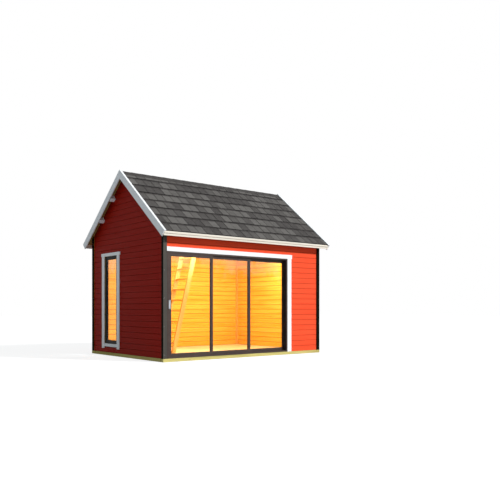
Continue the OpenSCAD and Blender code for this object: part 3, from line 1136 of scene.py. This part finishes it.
def add_piece(
    name: str,
    mesh: bpy.types.Mesh,
    body: Body,
    materials: list[bpy.types.Material],
    replaced: Iterable[str] = (),
) -> bpy.types.Object:
    """Puts a finished mesh on its body.

    Args:
        name: The piece's name.
        mesh: Its mesh, in the shed's own frame.
        body: What it rides on.
        materials: Its materials, by the faces' material numbers.
        replaced: The CAD nodes that it stands for.

    Returns:
        The piece.
    """
    numbers = [min(face.material_index, len(materials) - 1) for face in mesh.polygons]
    mesh.materials.clear()
    for material in materials:
        mesh.materials.append(material)
    mesh.polygons.foreach_set("material_index", numbers)
    mesh.name = name
    piece = new_object(name, mesh)
    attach(piece, body.value)
    if replaced:
        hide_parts(*replaced)
    LOG.info("%s: %d faces", name, len(mesh.polygons))
    return piece


def paint_faces(mesh: bpy.types.Mesh, number: Callable[[bpy.types.MeshPolygon], int]) -> None:
    """Sets each face's material number.

    Args:
        mesh: The mesh.
        number: Says which number a face gets.
    """
    for face in mesh.polygons:
        face.material_index = number(face)


# ---------------------------------------------------------------- sub-assemblies


@dataclass
class SoftenedBoards:
    """Boards and beams that keep their CAD shape and get rounded edges and a finish.

    Attributes:
        finishes: The shed's materials.
        radius: How far an edge is rounded.
        board: The thickness of a corner board, with its rounding.
        head: How far below a trim's top its level board reaches.
    """

    finishes: Finishes
    radius: float = 0.002
    board: float = 0.021
    head: float = 0.10

    def build(self) -> None:
        """Makes a softened piece for each plain board."""
        f = self.finishes
        white_y = f.white(Axis.Y)
        plan = {
            "front_sole": ("treated_timber", f.treated(Axis.X)),
            "back_sole": ("treated_timber", f.treated(Axis.X)),
            "side_soles": ("treated_timber", f.treated(Axis.Y)),
            "floor_joists": ("treated_timber", f.treated(Axis.Y)),
            "inner_corner_posts": ("pine", f.pine(Axis.Z)),
            "left_barge_boards": ("white_trim", white_y),
            "right_barge_boards": ("white_trim", white_y),
            "left_barge_caps": ("white_trim", white_y),
            "right_barge_caps": ("white_trim", white_y),
            "eave_fascias": ("white_trim", f.cream()),
            "eave_strips": ("white_trim", f.cream()),
            "loft_joists": ("pine", f.pine(Axis.Y)),
            "ladder_stiles": ("pine", f.pine(Axis.Z)),
            "ladder_rungs": ("pine", f.pine(Axis.Y)),
        }
        for node, (slot, material) in plan.items():
            mesh = softened_node(node, self.radius)
            add_piece(f"{node}_dressed", mesh, Body.HOUSE, [material], [node])
        self._corners()
        self._trims()
        self._purlins()

    def _corners(self) -> None:
        """Dresses the corner boards: charcoal on the front board beside the door, and a darker
        copy, which is painted shade, on the rest.
        """
        node = "corner_trims"
        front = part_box(node)[0].y
        mesh = softened_node(node, self.radius)

        def beside_door(face: bpy.types.MeshPolygon) -> int:
            """1 on the front board at the left corner, apart from its outer edge."""
            near = face.center.y < front + self.board and face.center.x < 0
            return int(near and face.normal.x > -0.7)

        paint_faces(mesh, beside_door)
        # Index 0 is the darker copy of the corner paint, which is painted shade; index 1 is the
        # charcoal beside the door.
        materials = [self.finishes.corner_painted_shade(), self.finishes.charcoal()]
        add_piece(f"{node}_dressed", mesh, Body.HOUSE, materials, [node])

    def _trims(self) -> None:
        """Dresses the door's and the window's white boards, level ones apart from upright ones."""
        for node, level in (("door_trims", Axis.X), ("window_trims", Axis.Y)):
            mesh = softened_node(node, self.radius)
            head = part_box(node)[1].z - self.head
            paint_faces(mesh, lambda face, foot=head: int(face.center.z > foot))
            materials = [self.finishes.white(Axis.Z), self.finishes.white(level)]
            add_piece(f"{node}_dressed", mesh, Body.HOUSE, materials, [node])

    def _purlins(self) -> None:
        """Dresses the purlins, painted white where they stand out of the gables."""
        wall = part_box("right_gable_wall")[1].x
        cut = opened(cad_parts["roof_purlins"].data)
        for side in (-1, 1):
            geometry = [*cut.verts, *cut.edges, *cut.faces]
            bmesh.ops.bisect_plane(
                cut, geom=geometry, plane_co=(side * wall, 0, 0), plane_no=(1, 0, 0)
            )
        mesh = closed(cut, "purlins")
        paint_faces(mesh, lambda face: int(abs(face.center.x) > wall))
        materials = [self.finishes.pine(Axis.X), self.finishes.white(Axis.X)]
        add_piece("roof_purlins_dressed", mesh, Body.HOUSE, materials, ["roof_purlins"])


@dataclass
class PlankWalls:
    """Walls of level planks with chamfered joints, red outside and bare inside.

    Attributes:
        finishes: The shed's materials.
        rows: The tree that stacks planks.
        pitch: The height of a plank.
        chamfer_out: How deep the outside joints are.
        chamfer_in: How deep the inside joints are.
        chamfer_height: How far a chamfer reaches up a plank.
        gap: The open joint between two planks.
        tongue: The thickness and the height of the tongue that shuts the joint.
        skin: How much deeper than the chamfers the outside's paint reaches.
        overrun: How far a plank runs past its wall before it is cut.
    """

    finishes: Finishes
    rows: RowGraph
    pitch: float = 0.12
    chamfer_out: float = 0.006
    chamfer_in: float = 0.004
    chamfer_height: float = 0.006
    gap: float = 0.0003
    tongue: float = 0.01
    skin: float = 0.001
    overrun: float = 0.02

    def build(self) -> None:
        """Makes the six stretches of wall."""
        for node in ("front_wall_left_post", "front_wall_over_door", "front_wall_right"):
            self._wall(node, Axis.X, -1)
        self._wall("back_wall", Axis.X, 1)
        self._wall("left_gable_wall", Axis.Y, -1)
        self._wall("right_gable_wall", Axis.Y, 1)

    def _outline(self, inner: float, outer: float) -> list[tuple[float, float]]:
        """A plank's outline: how far it lies across the wall, and its height.

        Args:
            inner: The room's side of the wall.
            outer: The outside of the wall.

        Returns:
            The corners, in order.
        """
        toward = math.copysign(1.0, outer - inner)
        top, bottom = self.pitch - self.gap, self.gap
        rise = self.chamfer_height
        outside, inside = outer - toward * self.chamfer_out, inner + toward * self.chamfer_in
        middle = (outer + inner) / 2
        tongue, groove = toward * self.tongue / 2, toward * (self.tongue / 2 + self.gap)
        return [
            (outer, bottom + rise),
            (outer, top - rise),
            (outside, top),
            (middle + tongue, top),
            (middle + tongue, top + self.tongue),
            (middle - tongue, top + self.tongue),
            (middle - tongue, top),
            (inside, top),
            (inner, top - rise),
            (inner, bottom + rise),
            (inside, bottom),
            (middle - groove, bottom),
            (middle - groove, bottom + self.tongue + self.gap),
            (middle + groove, bottom + self.tongue + self.gap),
            (middle + groove, bottom),
            (outside, bottom),
        ]

    def _wall(self, node: str, run: Axis, side: int) -> None:
        """Makes one wall from a stack of planks that is cut to the wall's outline.

        Args:
            node: The wall's CAD node.
            run: The axis along the wall.
            side: 1 where the outside faces up the other axis, or -1.
        """
        low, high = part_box(node)
        across = Axis.Y if run is Axis.X else Axis.X
        faces = sorted((low[across.value], high[across.value]), key=lambda v: v * side)
        inner, outer = faces
        start, end = low[run.value] - self.overrun, high[run.value] + self.overrun
        unit = prism("plank", self._outline(inner, outer), start, end)
        if run is Axis.Y:
            unit.transform(Matrix(((0, 1, 0, 0), (1, 0, 0, 0), (0, 0, 1, 0), (0, 0, 0, 1))))
            unit.flip_normals()
        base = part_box("back_wall")[0].z
        first = math.floor((low.z - base) / self.pitch + 1e-4)
        count = math.ceil((high.z - base) / self.pitch) - first
        start, step = (0.0, 0.0, base + first * self.pitch), (0.0, 0.0, self.pitch)
        stack = self.rows.lay(unit, count, start, step, self.finishes.red(run))
        mesh = cut_to(stack, node)
        skin = self.chamfer_out + self.skin

        def inside(face: bpy.types.MeshPolygon) -> int:
            """1 for a face that looks into the room or across the wall."""
            depth = (outer - face.center[across.value]) * side
            return int(depth > skin or face.normal[across.value] * side < 0.05)

        paint_faces(mesh, inside)
        materials = [self.finishes.red(run), self.finishes.pine_wall(run)]
        add_piece(f"{node}_planks", mesh, Body.HOUSE, materials, [node])


@dataclass
class Floors:
    """The floor's and the loft's separate boards.

    Attributes:
        finishes: The shed's materials.
        rows: The tree that lays boards side by side.
        width: About how wide a board is.
        gap: The joint between two boards.
        radius: How far an edge is rounded.
    """

    finishes: Finishes
    rows: RowGraph
    width: float = 0.12
    gap: float = 0.0012
    radius: float = 0.0015

    def build(self) -> None:
        """Makes both floors."""
        for node in ("floor_boards", "loft_boards"):
            low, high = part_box(node)
            count = round((high.y - low.y) / self.width)
            pitch = (high.y - low.y) / count
            board = boxes("board", [((low.x, 0.0, low.z), (high.x, pitch - self.gap, high.z))])
            board = softened(board, self.radius, 1)
            material = self.finishes.pine_floor(Axis.Y, low.y, pitch)
            start, step = (0.0, low.y + self.gap / 2, 0.0), (0.0, pitch, 0.0)
            mesh = self.rows.lay(board, count, start, step, material)
            add_piece(f"{node}_laid", mesh, Body.HOUSE, [material], [node])


@dataclass
class Roof:
    """The roof boards, the shingles in courses and the folded ridge pieces.

    Attributes:
        finishes: The shed's materials.
        rows: The tree that repeats along a line.
        tabs: The tree that lays the shingle tabs.
        pitch: The roof's pitch.
        ridge: The height of the caps' top edge at the ridge.
        foot_depth: How deep the shingles' underside lies below the tops of the caps.
        deck_depth: How deep the roof boards' upper side lies.
        deck_foot: How deep the roof boards' underside lies.
        courses: How many courses of shingles there are.
        exposure: How much of each course shows.
        eave_run: Where the lowest course ends, down the slope from the ridge.
        tab_width: The width of a tab.
        tab_count: How many tabs a course has.
        sheet: The thickness of a shingle sheet at its lower edge.
        tab: The thickness of a tab.
        board_width: The width of a roof board.
        overrun: How far the roof boards run past their outline before they are cut.
        joint: Half the open joint between two roof boards.
        chamfer: How far the chamfers of the roof boards reach.
        lap: How far a sheet reaches up under the course above.
        thin: The thickness of a sheet at its upper edge.
        meet: How near to the ridge the courses come.
        setback: How far the tabs' lower edges lie behind their sheet's.
        tab_lap: How far a tab reaches up past the course above.
        tab_sink: How far a tab's underside is sunk into its sheet.
        tab_head: The heights of a tab's underside and its top at its upper edge.
        verge: How much shorter a course of tabs is than its sheet.
        stray: How far a tab may lie to one side of its place.
        lift: How far a tab may stand off.
        ragged: How far a tab's lower edge may be out of line.
        seeds: The random seeds of the front and of the back slope.
        ridge_reach: How far the ridge pieces come down each slope.
        ridge_piece: The length of a ridge piece.
        ridge_lap: The least length of a ridge piece that the next one covers.
        ridge_thick: The thickness of a ridge piece.
        ridge_lifts: How high a ridge piece's two ends lie over the shingles' underside.
        fold: Half the width of a ridge piece's rounded fold.
        fold_rise: How much higher the fold lies.
    """

    finishes: Finishes
    rows: RowGraph
    tabs: PointGraph
    pitch: float = math.radians(38.8)
    ridge: float = 4.0
    foot_depth: float = 0.0283
    deck_depth: float = 0.0286
    deck_foot: float = 0.0486
    courses: int = 8
    exposure: float = 0.290
    eave_run: float = 2.300
    tab_width: float = 0.189
    tab_count: int = 23
    sheet: float = 0.0070
    tab: float = 0.0075
    board_width: float = 0.12
    overrun: float = 0.01
    joint: float = 0.0003
    chamfer: float = 0.004
    lap: float = 0.02
    thin: float = 0.0015
    meet: float = 0.012
    setback: float = 0.006
    tab_lap: float = 0.004
    tab_sink: float = 0.001
    tab_head: tuple[float, float] = (0.0008, 0.004)
    verge: float = 0.02
    stray: float = 0.002
    lift: float = 0.0035
    ragged: float = 0.003
    seeds: tuple[int, int] = (11, 47)
    ridge_reach: float = 0.15
    ridge_piece: float = 0.33
    ridge_lap: float = 0.05
    ridge_thick: float = 0.005
    ridge_lifts: tuple[float, float] = (0.0105, 0.0065)
    fold: float = 0.012
    fold_rise: float = 0.002

    def build(self) -> None:
        """Makes both slopes and the ridge."""
        for slope in Slope:
            self._boards(slope)
            self._shingles(slope)
        self._ridge_pieces()

    def _onto(self, mesh: bpy.types.Mesh, slope: Slope, depth: float) -> None:
        """Lays a flat mesh on a slope.

        Args:
            mesh: The mesh, with Y down the slope and Z square to it.
            slope: The slope.
            depth: How deep its zero height lies below the tops of the caps.
        """
        sine, cosine, side = math.sin(self.pitch), math.cos(self.pitch), slope.value
        normal = Vector((0, side * sine, cosine))
        down = Vector((0, side * cosine, -sine))
        origin = Vector((0, 0, self.ridge)) - normal * depth
        place = Matrix((Vector((1, 0, 0)), down, normal)).transposed().to_4x4()
        place.translation = origin
        mesh.transform(place)
        if side < 0:
            mesh.flip_normals()

    def _boards(self, slope: Slope) -> None:
        """Makes a slope's boards, with chamfered joints underneath.

        Args:
            slope: The slope.
        """
        node = f"{slope.name.lower()}_roof_boards"
        low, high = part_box(node)
        thick, over = self.deck_foot - self.deck_depth, self.overrun
        left, right = self.joint, self.board_width - self.joint
        outline = [
            (left, over),
            (right, over),
            (right, -thick + self.chamfer),
            (self.board_width - self.chamfer, -thick),
            (self.chamfer, -thick),
            (left, -thick + self.chamfer),
        ]
        unit = prism("roof_board", outline, low.x - over, high.x + over)
        count = math.ceil(self.eave_run / self.board_width) + 1
        start, step = (0.0, -self.board_width / 2, 0.0), (0.0, self.board_width, 0.0)
        material = self.finishes.soffit()
        mesh = self.rows.lay(unit, count, start, step, material)
        self._onto(mesh, slope, self.deck_depth)
        mesh = cut_to(mesh, node)
        add_piece(f"{node}_laid", mesh, Body.HOUSE, [material], [node])

    def _shingles(self, slope: Slope) -> None:
        """Makes a slope's courses: a wedge of sheet for each, and its tabs on top.

        Args:
            slope: The slope.
        """
        node = f"{slope.name.lower()}_shingles"
        low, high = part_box(node)
        first = self.eave_run - (self.courses - 1) * self.exposure
        cover = self.exposure + self.lap
        wedge = [(-cover, 0.0), (0.0, 0.0), (0.0, self.sheet), (-cover, self.thin)]
        sheet = prism("course", wedge, low.x, high.x)
        materials = [self.finishes.shingle(), self.finishes.butt()]
        start, step = (0.0, first, 0.0), (0.0, self.exposure, 0.0)
        courses = self.rows.lay(sheet, self.courses, start, step, self.finishes.butt())
        half = self.tab_width / 2
        head, (under, over) = -self.exposure - self.tab_lap, self.tab_head
        foot, top = self.sheet - self.tab_sink, self.sheet + self.tab
        outline = [(head, under), (0.0, foot), (0.0, top), (head, over)]
        unit = prism("tab", outline, -half, half)
        laid = self.tabs.run(
            unit,
            {
                "Courses": self.courses,
                "Tabs": self.tab_count,
                "Length": high.x - low.x - self.verge,
                "Tab width": self.tab_width,
                "Exposure": self.exposure,
                "First run": first - self.setback,
                "Stray": self.stray,
                "Lift": self.lift,
                "Ragged": self.ragged,
                "Seed": self.seeds[0] if slope is Slope.FRONT else self.seeds[1],
                "Material": self.finishes.shingle(),
            },
        )
        # The tabs' edges and the sheets get the very dark edge finish: the felt's own dark edge,
        # with painted shade in the slots and along the butts.
        paint_faces(laid, lambda face: int(abs(face.normal.z) < 0.5))
        for mesh in (courses, laid):
            for vertex in mesh.vertices:
                vertex.co.y = max(vertex.co.y, self.meet)
            self._onto(mesh, slope, self.foot_depth)
        add_piece(f"{node}_tabs", laid, Body.HOUSE, materials, [node])
        add_piece(f"{node}_sheets", courses, Body.HOUSE, materials[1:], [node])

    def _ridge_pieces(self) -> None:
        """Makes the row of folded pieces that laps along the ridge."""
        low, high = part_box("ridge_cap")
        cosine, slope = math.cos(self.pitch), math.tan(self.pitch)
        made = bmesh.new()
        run = self.ridge_reach * cosine
        ends = []
        for x, lift in zip((0.0, self.ridge_piece), self.ridge_lifts, strict=True):
            corners = []
            for thick in (0.0, self.ridge_thick):
                apex = self.ridge - (self.foot_depth - lift - thick) / cosine
                for y in (-run, -self.fold, self.fold, run):
                    rise = self.fold_rise if abs(y) == self.fold else 0.0
                    corners.append(made.verts.new((x, y, apex - abs(y) * slope + rise)))
            ends.append(corners)
        near, far = ends
        loop = (0, 1, 2, 3, 7, 6, 5, 4)
        for corners in ends:
            for i in range(3):
                made.faces.new((corners[i], corners[i + 1], corners[i + 5], corners[i + 4]))
        for i, at in enumerate(loop):
            after = loop[(i + 1) % len(loop)]
            made.faces.new((near[at], near[after], far[after], far[at]))
        bmesh.ops.recalc_face_normals(made, faces=made.faces)
        unit = closed(made, "ridge_piece")
        length = high.x - low.x
        count = math.ceil(length / (self.ridge_piece - self.ridge_lap))
        step = (length - self.ridge_piece) / (count - 1)
        material = self.finishes.ridge_shingle()
        mesh = self.rows.lay(unit, count, (low.x, 0.0, 0.0), (step, 0.0, 0.0), material)
        add_piece("ridge_pieces", mesh, Body.HOUSE, [material], ["ridge_cap"])


@dataclass
class SlidingDoor:
    """The sliding door's outer frame, its three panels, their glass, beads and handle.

    Attributes:
        finishes: The shed's materials.
        bead: The width of a glazing bead.
        bead_depth: How far a bead stands off the glass.
        bite: How far the glass goes into its frame.
        rail_radius: How far the edges of the sill, the head and the jambs are rounded.
        panel_radius: How far the panels' edges are rounded.
        grip_radius: How far the handle's edges are rounded.
        bead_radius: How far the beads' edges are rounded.
    """

    finishes: Finishes
    bead: float = 0.007
    bead_depth: float = 0.0045
    bite: float = 0.010
    rail_radius: float = 0.0008
    panel_radius: float = 0.002
    grip_radius: float = 0.0018
    bead_radius: float = 0.001

    def build(self) -> None:
        """Dresses the outer frame and the three panels."""
        f = self.finishes
        for node in ("door_sill", "door_head", "door_jambs"):
            mesh = softened_node(node, self.rail_radius, 1)
            add_piece(f"{node}_dressed", mesh, Body.HOUSE, [f.frame()], [node])
        panels = {"left": Body.LEFT_DOOR, "middle": Body.MIDDLE_DOOR, "right": Body.HOUSE}
        for side, body in panels.items():
            node = f"{side}_door_frame"
            mesh = softened_node(node, self.panel_radius)
            add_piece(f"{node}_dressed", mesh, body, [f.frame()], [node])
            pane = f"{side}_door_glass"
            self.beads(pane, body, Axis.Y)
            self.dress(pane, f.glass())
        for side in ("left", "middle"):
            self.dress(f"{side}_door_rollers", f.roller())
        grip = softened_node("left_door_handle", self.grip_radius, 3)
        add_piece(
            "pull_handle", grip, Body.LEFT_DOOR, [f.handle()], ["left_door_handle"]
        )

    def dress(self, node: str, material: bpy.types.Material) -> None:
        """Gives a CAD node that keeps its own mesh a better material.

        Args:
            node: The node.
            material: The material.
        """
        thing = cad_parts[node]
        for place in thing.material_slots:
            place.material = material
        LOG.info("%s: dressed", node)

    def beads(self, pane: str, body: Body, through: Axis) -> None:
        """Makes the rubber beads on both sides of a pane.

        Args:
            pane: The pane's CAD node.
            body: What it rides on.
            through: The axis square to the pane.
        """
        low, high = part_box(pane)
        span = Axis.X if through is Axis.Y else Axis.Y
        u1, u2 = low[span.value] + self.bite, high[span.value] - self.bite
        z1, z2 = low.z + self.bite, high.z - self.bite
        strips = [
            ((u1, z1), (u2, z1 + self.bead)),
            ((u1, z2 - self.bead), (u2, z2)),
            ((u1, z1 + self.bead), (u1 + self.bead, z2 - self.bead)),
            ((u2 - self.bead, z1 + self.bead), (u2, z2 - self.bead)),
        ]
        sides = (
            (low[through.value] - self.bead_depth, low[through.value]),
            (high[through.value], high[through.value] + self.bead_depth),
        )
        corners = []
        for near, far in sides:
            for (ua, za), (ub, zb) in strips:
                if through is Axis.Y:
                    corners.append(((ua, near, za), (ub, far, zb)))
                else:
                    corners.append(((near, ua, za), (far, ub, zb)))
        mesh = softened(boxes("beads", corners), self.bead_radius, 1)
        rubber = self.finishes.rubber()
        add_piece(f"{pane}_beads", mesh, body, [rubber])


@dataclass
class GableWindow:
    """The tall window in the left gable.

    Attributes:
        finishes: The shed's materials.
        door: The door, whose ways of dressing a pane it shares.
        radius: How far the frame's edges are rounded.
    """

    finishes: Finishes
    door: SlidingDoor
    radius: float = 0.003

    def build(self) -> None:
        """Dresses the frame, the glass and its beads."""
        mesh = softened_node("window_frame", self.radius)
        material = self.finishes.window()
        add_piece(
            "window_frame_dressed", mesh, Body.HOUSE, [material], ["window_frame"]
        )
        self.door.dress("window_glass", self.finishes.glass())
        self.door.beads("window_glass", Body.HOUSE, Axis.X)


@dataclass
class Fixings:
    """Rows of screw heads on the trims.

    Attributes:
        finishes: The shed's materials.
        rows: The tree that repeats along a line.
        radius: The radius of a head.
        height: How far a head stands out.
        spacing: About how far apart the screws are.
        corner_inset: How far a row lies from a corner board's outer edge.
        corner_heights: The lowest and the highest screw of a corner board.
        door_inset: How far a row lies from the door trims' outer edge.
        door_drop: How far the level row lies below the top of the door trims.
        door_top: The highest screw of the door's upright trim.
        window_inset: How far a row lies from the window trims' outer edge.
        window_foot: How far the lowest screw lies above the window trims' foot.
        window_drop: How far the highest screw lies below the window trims' top.
    """

    finishes: Finishes
    rows: RowGraph
    radius: float = 0.0045
    height: float = 0.0012
    spacing: float = 0.55
    corner_inset: float = 0.022
    corner_heights: tuple[float, float] = (0.14, 2.36)
    door_inset: float = 0.06
    door_drop: float = 0.045
    door_top: float = 2.0
    window_inset: float = 0.085
    window_foot: float = 0.06
    window_drop: float = 0.30

    def _head(self, out: Vector) -> bpy.types.Mesh:
        """A low domed head that looks along a direction.

        Args:
            out: The direction.

        Returns:
            The mesh.
        """
        made = bmesh.new()
        bmesh.ops.create_cone(
            made, cap_ends=True, segments=8, radius1=self.radius, radius2=self.radius * 0.6,
            depth=self.height,
        )
        mesh = closed(made, "screw")
        mesh.transform(Matrix.Translation((0, 0, self.height / 2)))
        mesh.transform(out.to_track_quat("Z", "Y").to_matrix().to_4x4())
        return mesh

    def _row(self, out: Point, start: Point, end: Point) -> bpy.types.Mesh:
        """A row of heads between two points.

        Args:
            out: The way that the heads look.
            start: The first head's place.
            end: The last head's place.

        Returns:
            The mesh.
        """
        first, last = Vector(start), Vector(end)
        count = max(2, round((last - first).length / self.spacing) + 1)
        step = tuple((last - first) / (count - 1))
        return self.rows.lay(
            self._head(Vector(out)), count, tuple(first), step, self.finishes.screw()
        )

    def build(self) -> None:
        """Makes every row and joins them into one piece."""
        low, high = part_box("corner_trims")
        foot, top = self.corner_heights
        rows = []
        for x in (low.x + self.corner_inset, high.x - self.corner_inset):
            for out, y in ((-1, low.y), (1, high.y)):
                rows.append(((0, out, 0), (x, y, foot), (x, y, top)))
        low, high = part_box("door_trims")
        left, right = low.x + self.door_inset, high.x - self.door_inset
        head = high.z - self.door_drop
        rows.append(((0, -1, 0), (right, low.y, foot), (right, low.y, self.door_top)))
        rows.append(((0, -1, 0), (left, low.y, head), (right, low.y, head)))
        low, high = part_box("window_trims")
        foot, top = low.z + self.window_foot, high.z - self.window_drop
        for y in (low.y + self.window_inset, high.y - self.window_inset):
            rows.append(((-1, 0, 0), (low.x, y, foot), (low.x, y, top)))
        joined = bmesh.new()
        for out, start, end in rows:
            joined.from_mesh(self._row(out, start, end))
        whole = closed(joined, "screw_heads")
        add_piece("screw_heads", whole, Body.HOUSE, [self.finishes.screw()])


@dataclass
class Studio:
    """The camera, the lights, the floor and the backdrop.

    Attributes:
        camera_place: Where the camera stands.
        camera_turn: How far it is turned from looking along +Y, in degrees.
        lens: Its focal length in millimetres, for a sensor 36 wide.
        shift: How far the picture is shifted up.
        sun_from: The direction that the key light comes from.
        sun_power: The key light's strength.
        sun_spread: How wide the key light is, in degrees.
        fill: The strength of the light from all round.
        room_size: The length and the width of the lamp under the loft.
        room_place: How far it lies from the middle, from the front and below the loft.
        room_turn: How far it leans towards the back, in degrees.
        room_power: Its strength in watts.
        floor_reach: How far the floor goes each way.
        floor_matt: How light the floor that the camera sees is under the lights.
        floor_glow: How much that floor shines by itself.
        floor_dim: The floor's colour as it lights the shed from below.
        sky: The colour of the light from all round.
    """

    camera_place: Point = (-8.540, -12.048, 1.0705)
    camera_turn: float = -39.28
    lens: float = 45.03
    shift: float = 0.1147
    sun_from: Point = (0.45, -0.75, 0.48)
    sun_power: float = 3.25
    sun_spread: float = 5.0
    fill: float = 0.38
    room_size: tuple[float, float] = (3.2, 1.6)
    room_place: Point = (0.3, 0.9, 0.05)
    room_turn: float = 38.0
    room_power: float = 128.0
    floor_reach: float = 60.0
    floor_matt: float = 0.3
    floor_glow: float = 0.82
    floor_dim: Colour = (0.42, 0.43, 0.45)
    sky: Colour = (0.88, 0.97, 1.0)

    def build(self) -> None:
        """Makes the whole studio."""
        self._camera()
        self._lights()
        self._floor()
        self._world()

    def _camera(self) -> None:
        """Makes the scene's camera."""
        data = bpy.data.cameras.new("camera")
        data.sensor_width = 36
        data.lens = self.lens
        data.shift_y = self.shift
        camera = new_object("camera", data)
        camera.location = self.camera_place
        camera.rotation_euler = (math.radians(90), 0, math.radians(self.camera_turn))
        bpy.context.scene.camera = camera
        bpy.context.scene.view_settings.view_transform = "Standard"

    def _lights(self) -> None:
        """Makes the soft key light and a soft lamp under the loft."""
        sun = bpy.data.lights.new("key", "SUN")
        sun.energy = self.sun_power
        sun.angle = math.radians(self.sun_spread)
        key = new_object("key", sun)
        key.rotation_euler = Vector(self.sun_from).to_track_quat("Z", "Y").to_euler()
        lamp = bpy.data.lights.new("room_fill", "AREA")
        lamp.shape = "RECTANGLE"
        lamp.size, lamp.size_y = self.room_size
        lamp.energy = self.room_power
        aside, inward, below = self.room_place
        front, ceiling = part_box("floor_boards")[0].y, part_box("loft_joists")[0].z
        room = new_object("room_fill", lamp)
        room.location = (aside, front + inward, ceiling - below)
        room.rotation_euler = (math.radians(self.room_turn), 0, 0)
        room.visible_camera = False
        room.visible_glossy = False
        room.visible_transmission = False

    def _floor(self) -> None:
        """Makes a plain pale floor that bounces little light back."""
        mesh = bpy.data.meshes.new("floor")
        reach = self.floor_reach
        corners = [(-reach, -reach, 0), (reach, -reach, 0), (reach, reach, 0), (-reach, reach, 0)]
        mesh.from_pydata(corners, [], [(0, 1, 2, 3)])
        graph = SurfaceGraph("studio_floor")
        seen = graph.seen()
        grey = rgba((self.floor_matt,) * 3)
        matt = graph.node("ShaderNodeBsdfDiffuse", None, {"Color": grey})
        glow = graph.node("ShaderNodeEmission", None, {"Strength": self.floor_glow})
        both = graph.node("ShaderNodeAddShader")
        graph.feed(both.inputs[0], matt.outputs[0])
        graph.feed(both.inputs[1], glow.outputs[0])
        dim = graph.node("ShaderNodeBsdfDiffuse", None, {"Color": rgba(self.floor_dim)})
        mesh.materials.append(graph.finish_mixed(seen, dim.outputs[0], both.outputs[0]))
        floor = new_object("studio_floor", mesh)
        floor.location = (0, 0, -0.001)

    def _world(self) -> None:
        """Makes the white backdrop and the light from all round."""
        world = bpy.data.worlds.new("studio")
        world.use_nodes = True
        bpy.context.scene.world = world
        graph = Graph(world.node_tree)
        seen = graph.seen()
        strength = seen * (1.0 - self.fill) + self.fill
        cool = graph.node(
            "ShaderNodeMix",
            {"data_type": "RGBA"},
            {0: seen, 6: rgba(self.sky), 7: (1.0, 1.0, 1.0, 1.0)},
        )
        back = graph.node("ShaderNodeBackground", None, {"Color": cool.outputs[2]})
        graph.feed(back.inputs["Strength"], strength)
        out = graph.node("ShaderNodeOutputWorld")
        graph.feed(out.inputs[0], back.outputs[0])


def main() -> None:
    """Builds the shed's looks in order."""
    logging.basicConfig(level=logging.INFO, format="%(name)s %(message)s")
    finishes = Finishes()
    rows, tabs = RowGraph(), tab_tree()
    Studio().build()
    SoftenedBoards(finishes).build()
    PlankWalls(finishes, rows).build()
    Floors(finishes, rows).build()
    Roof(finishes, rows, tabs).build()
    door = SlidingDoor(finishes)
    door.build()
    GableWindow(finishes, door).build()
    Fixings(finishes, rows).build()


if __name__ == "__main__":
    main()
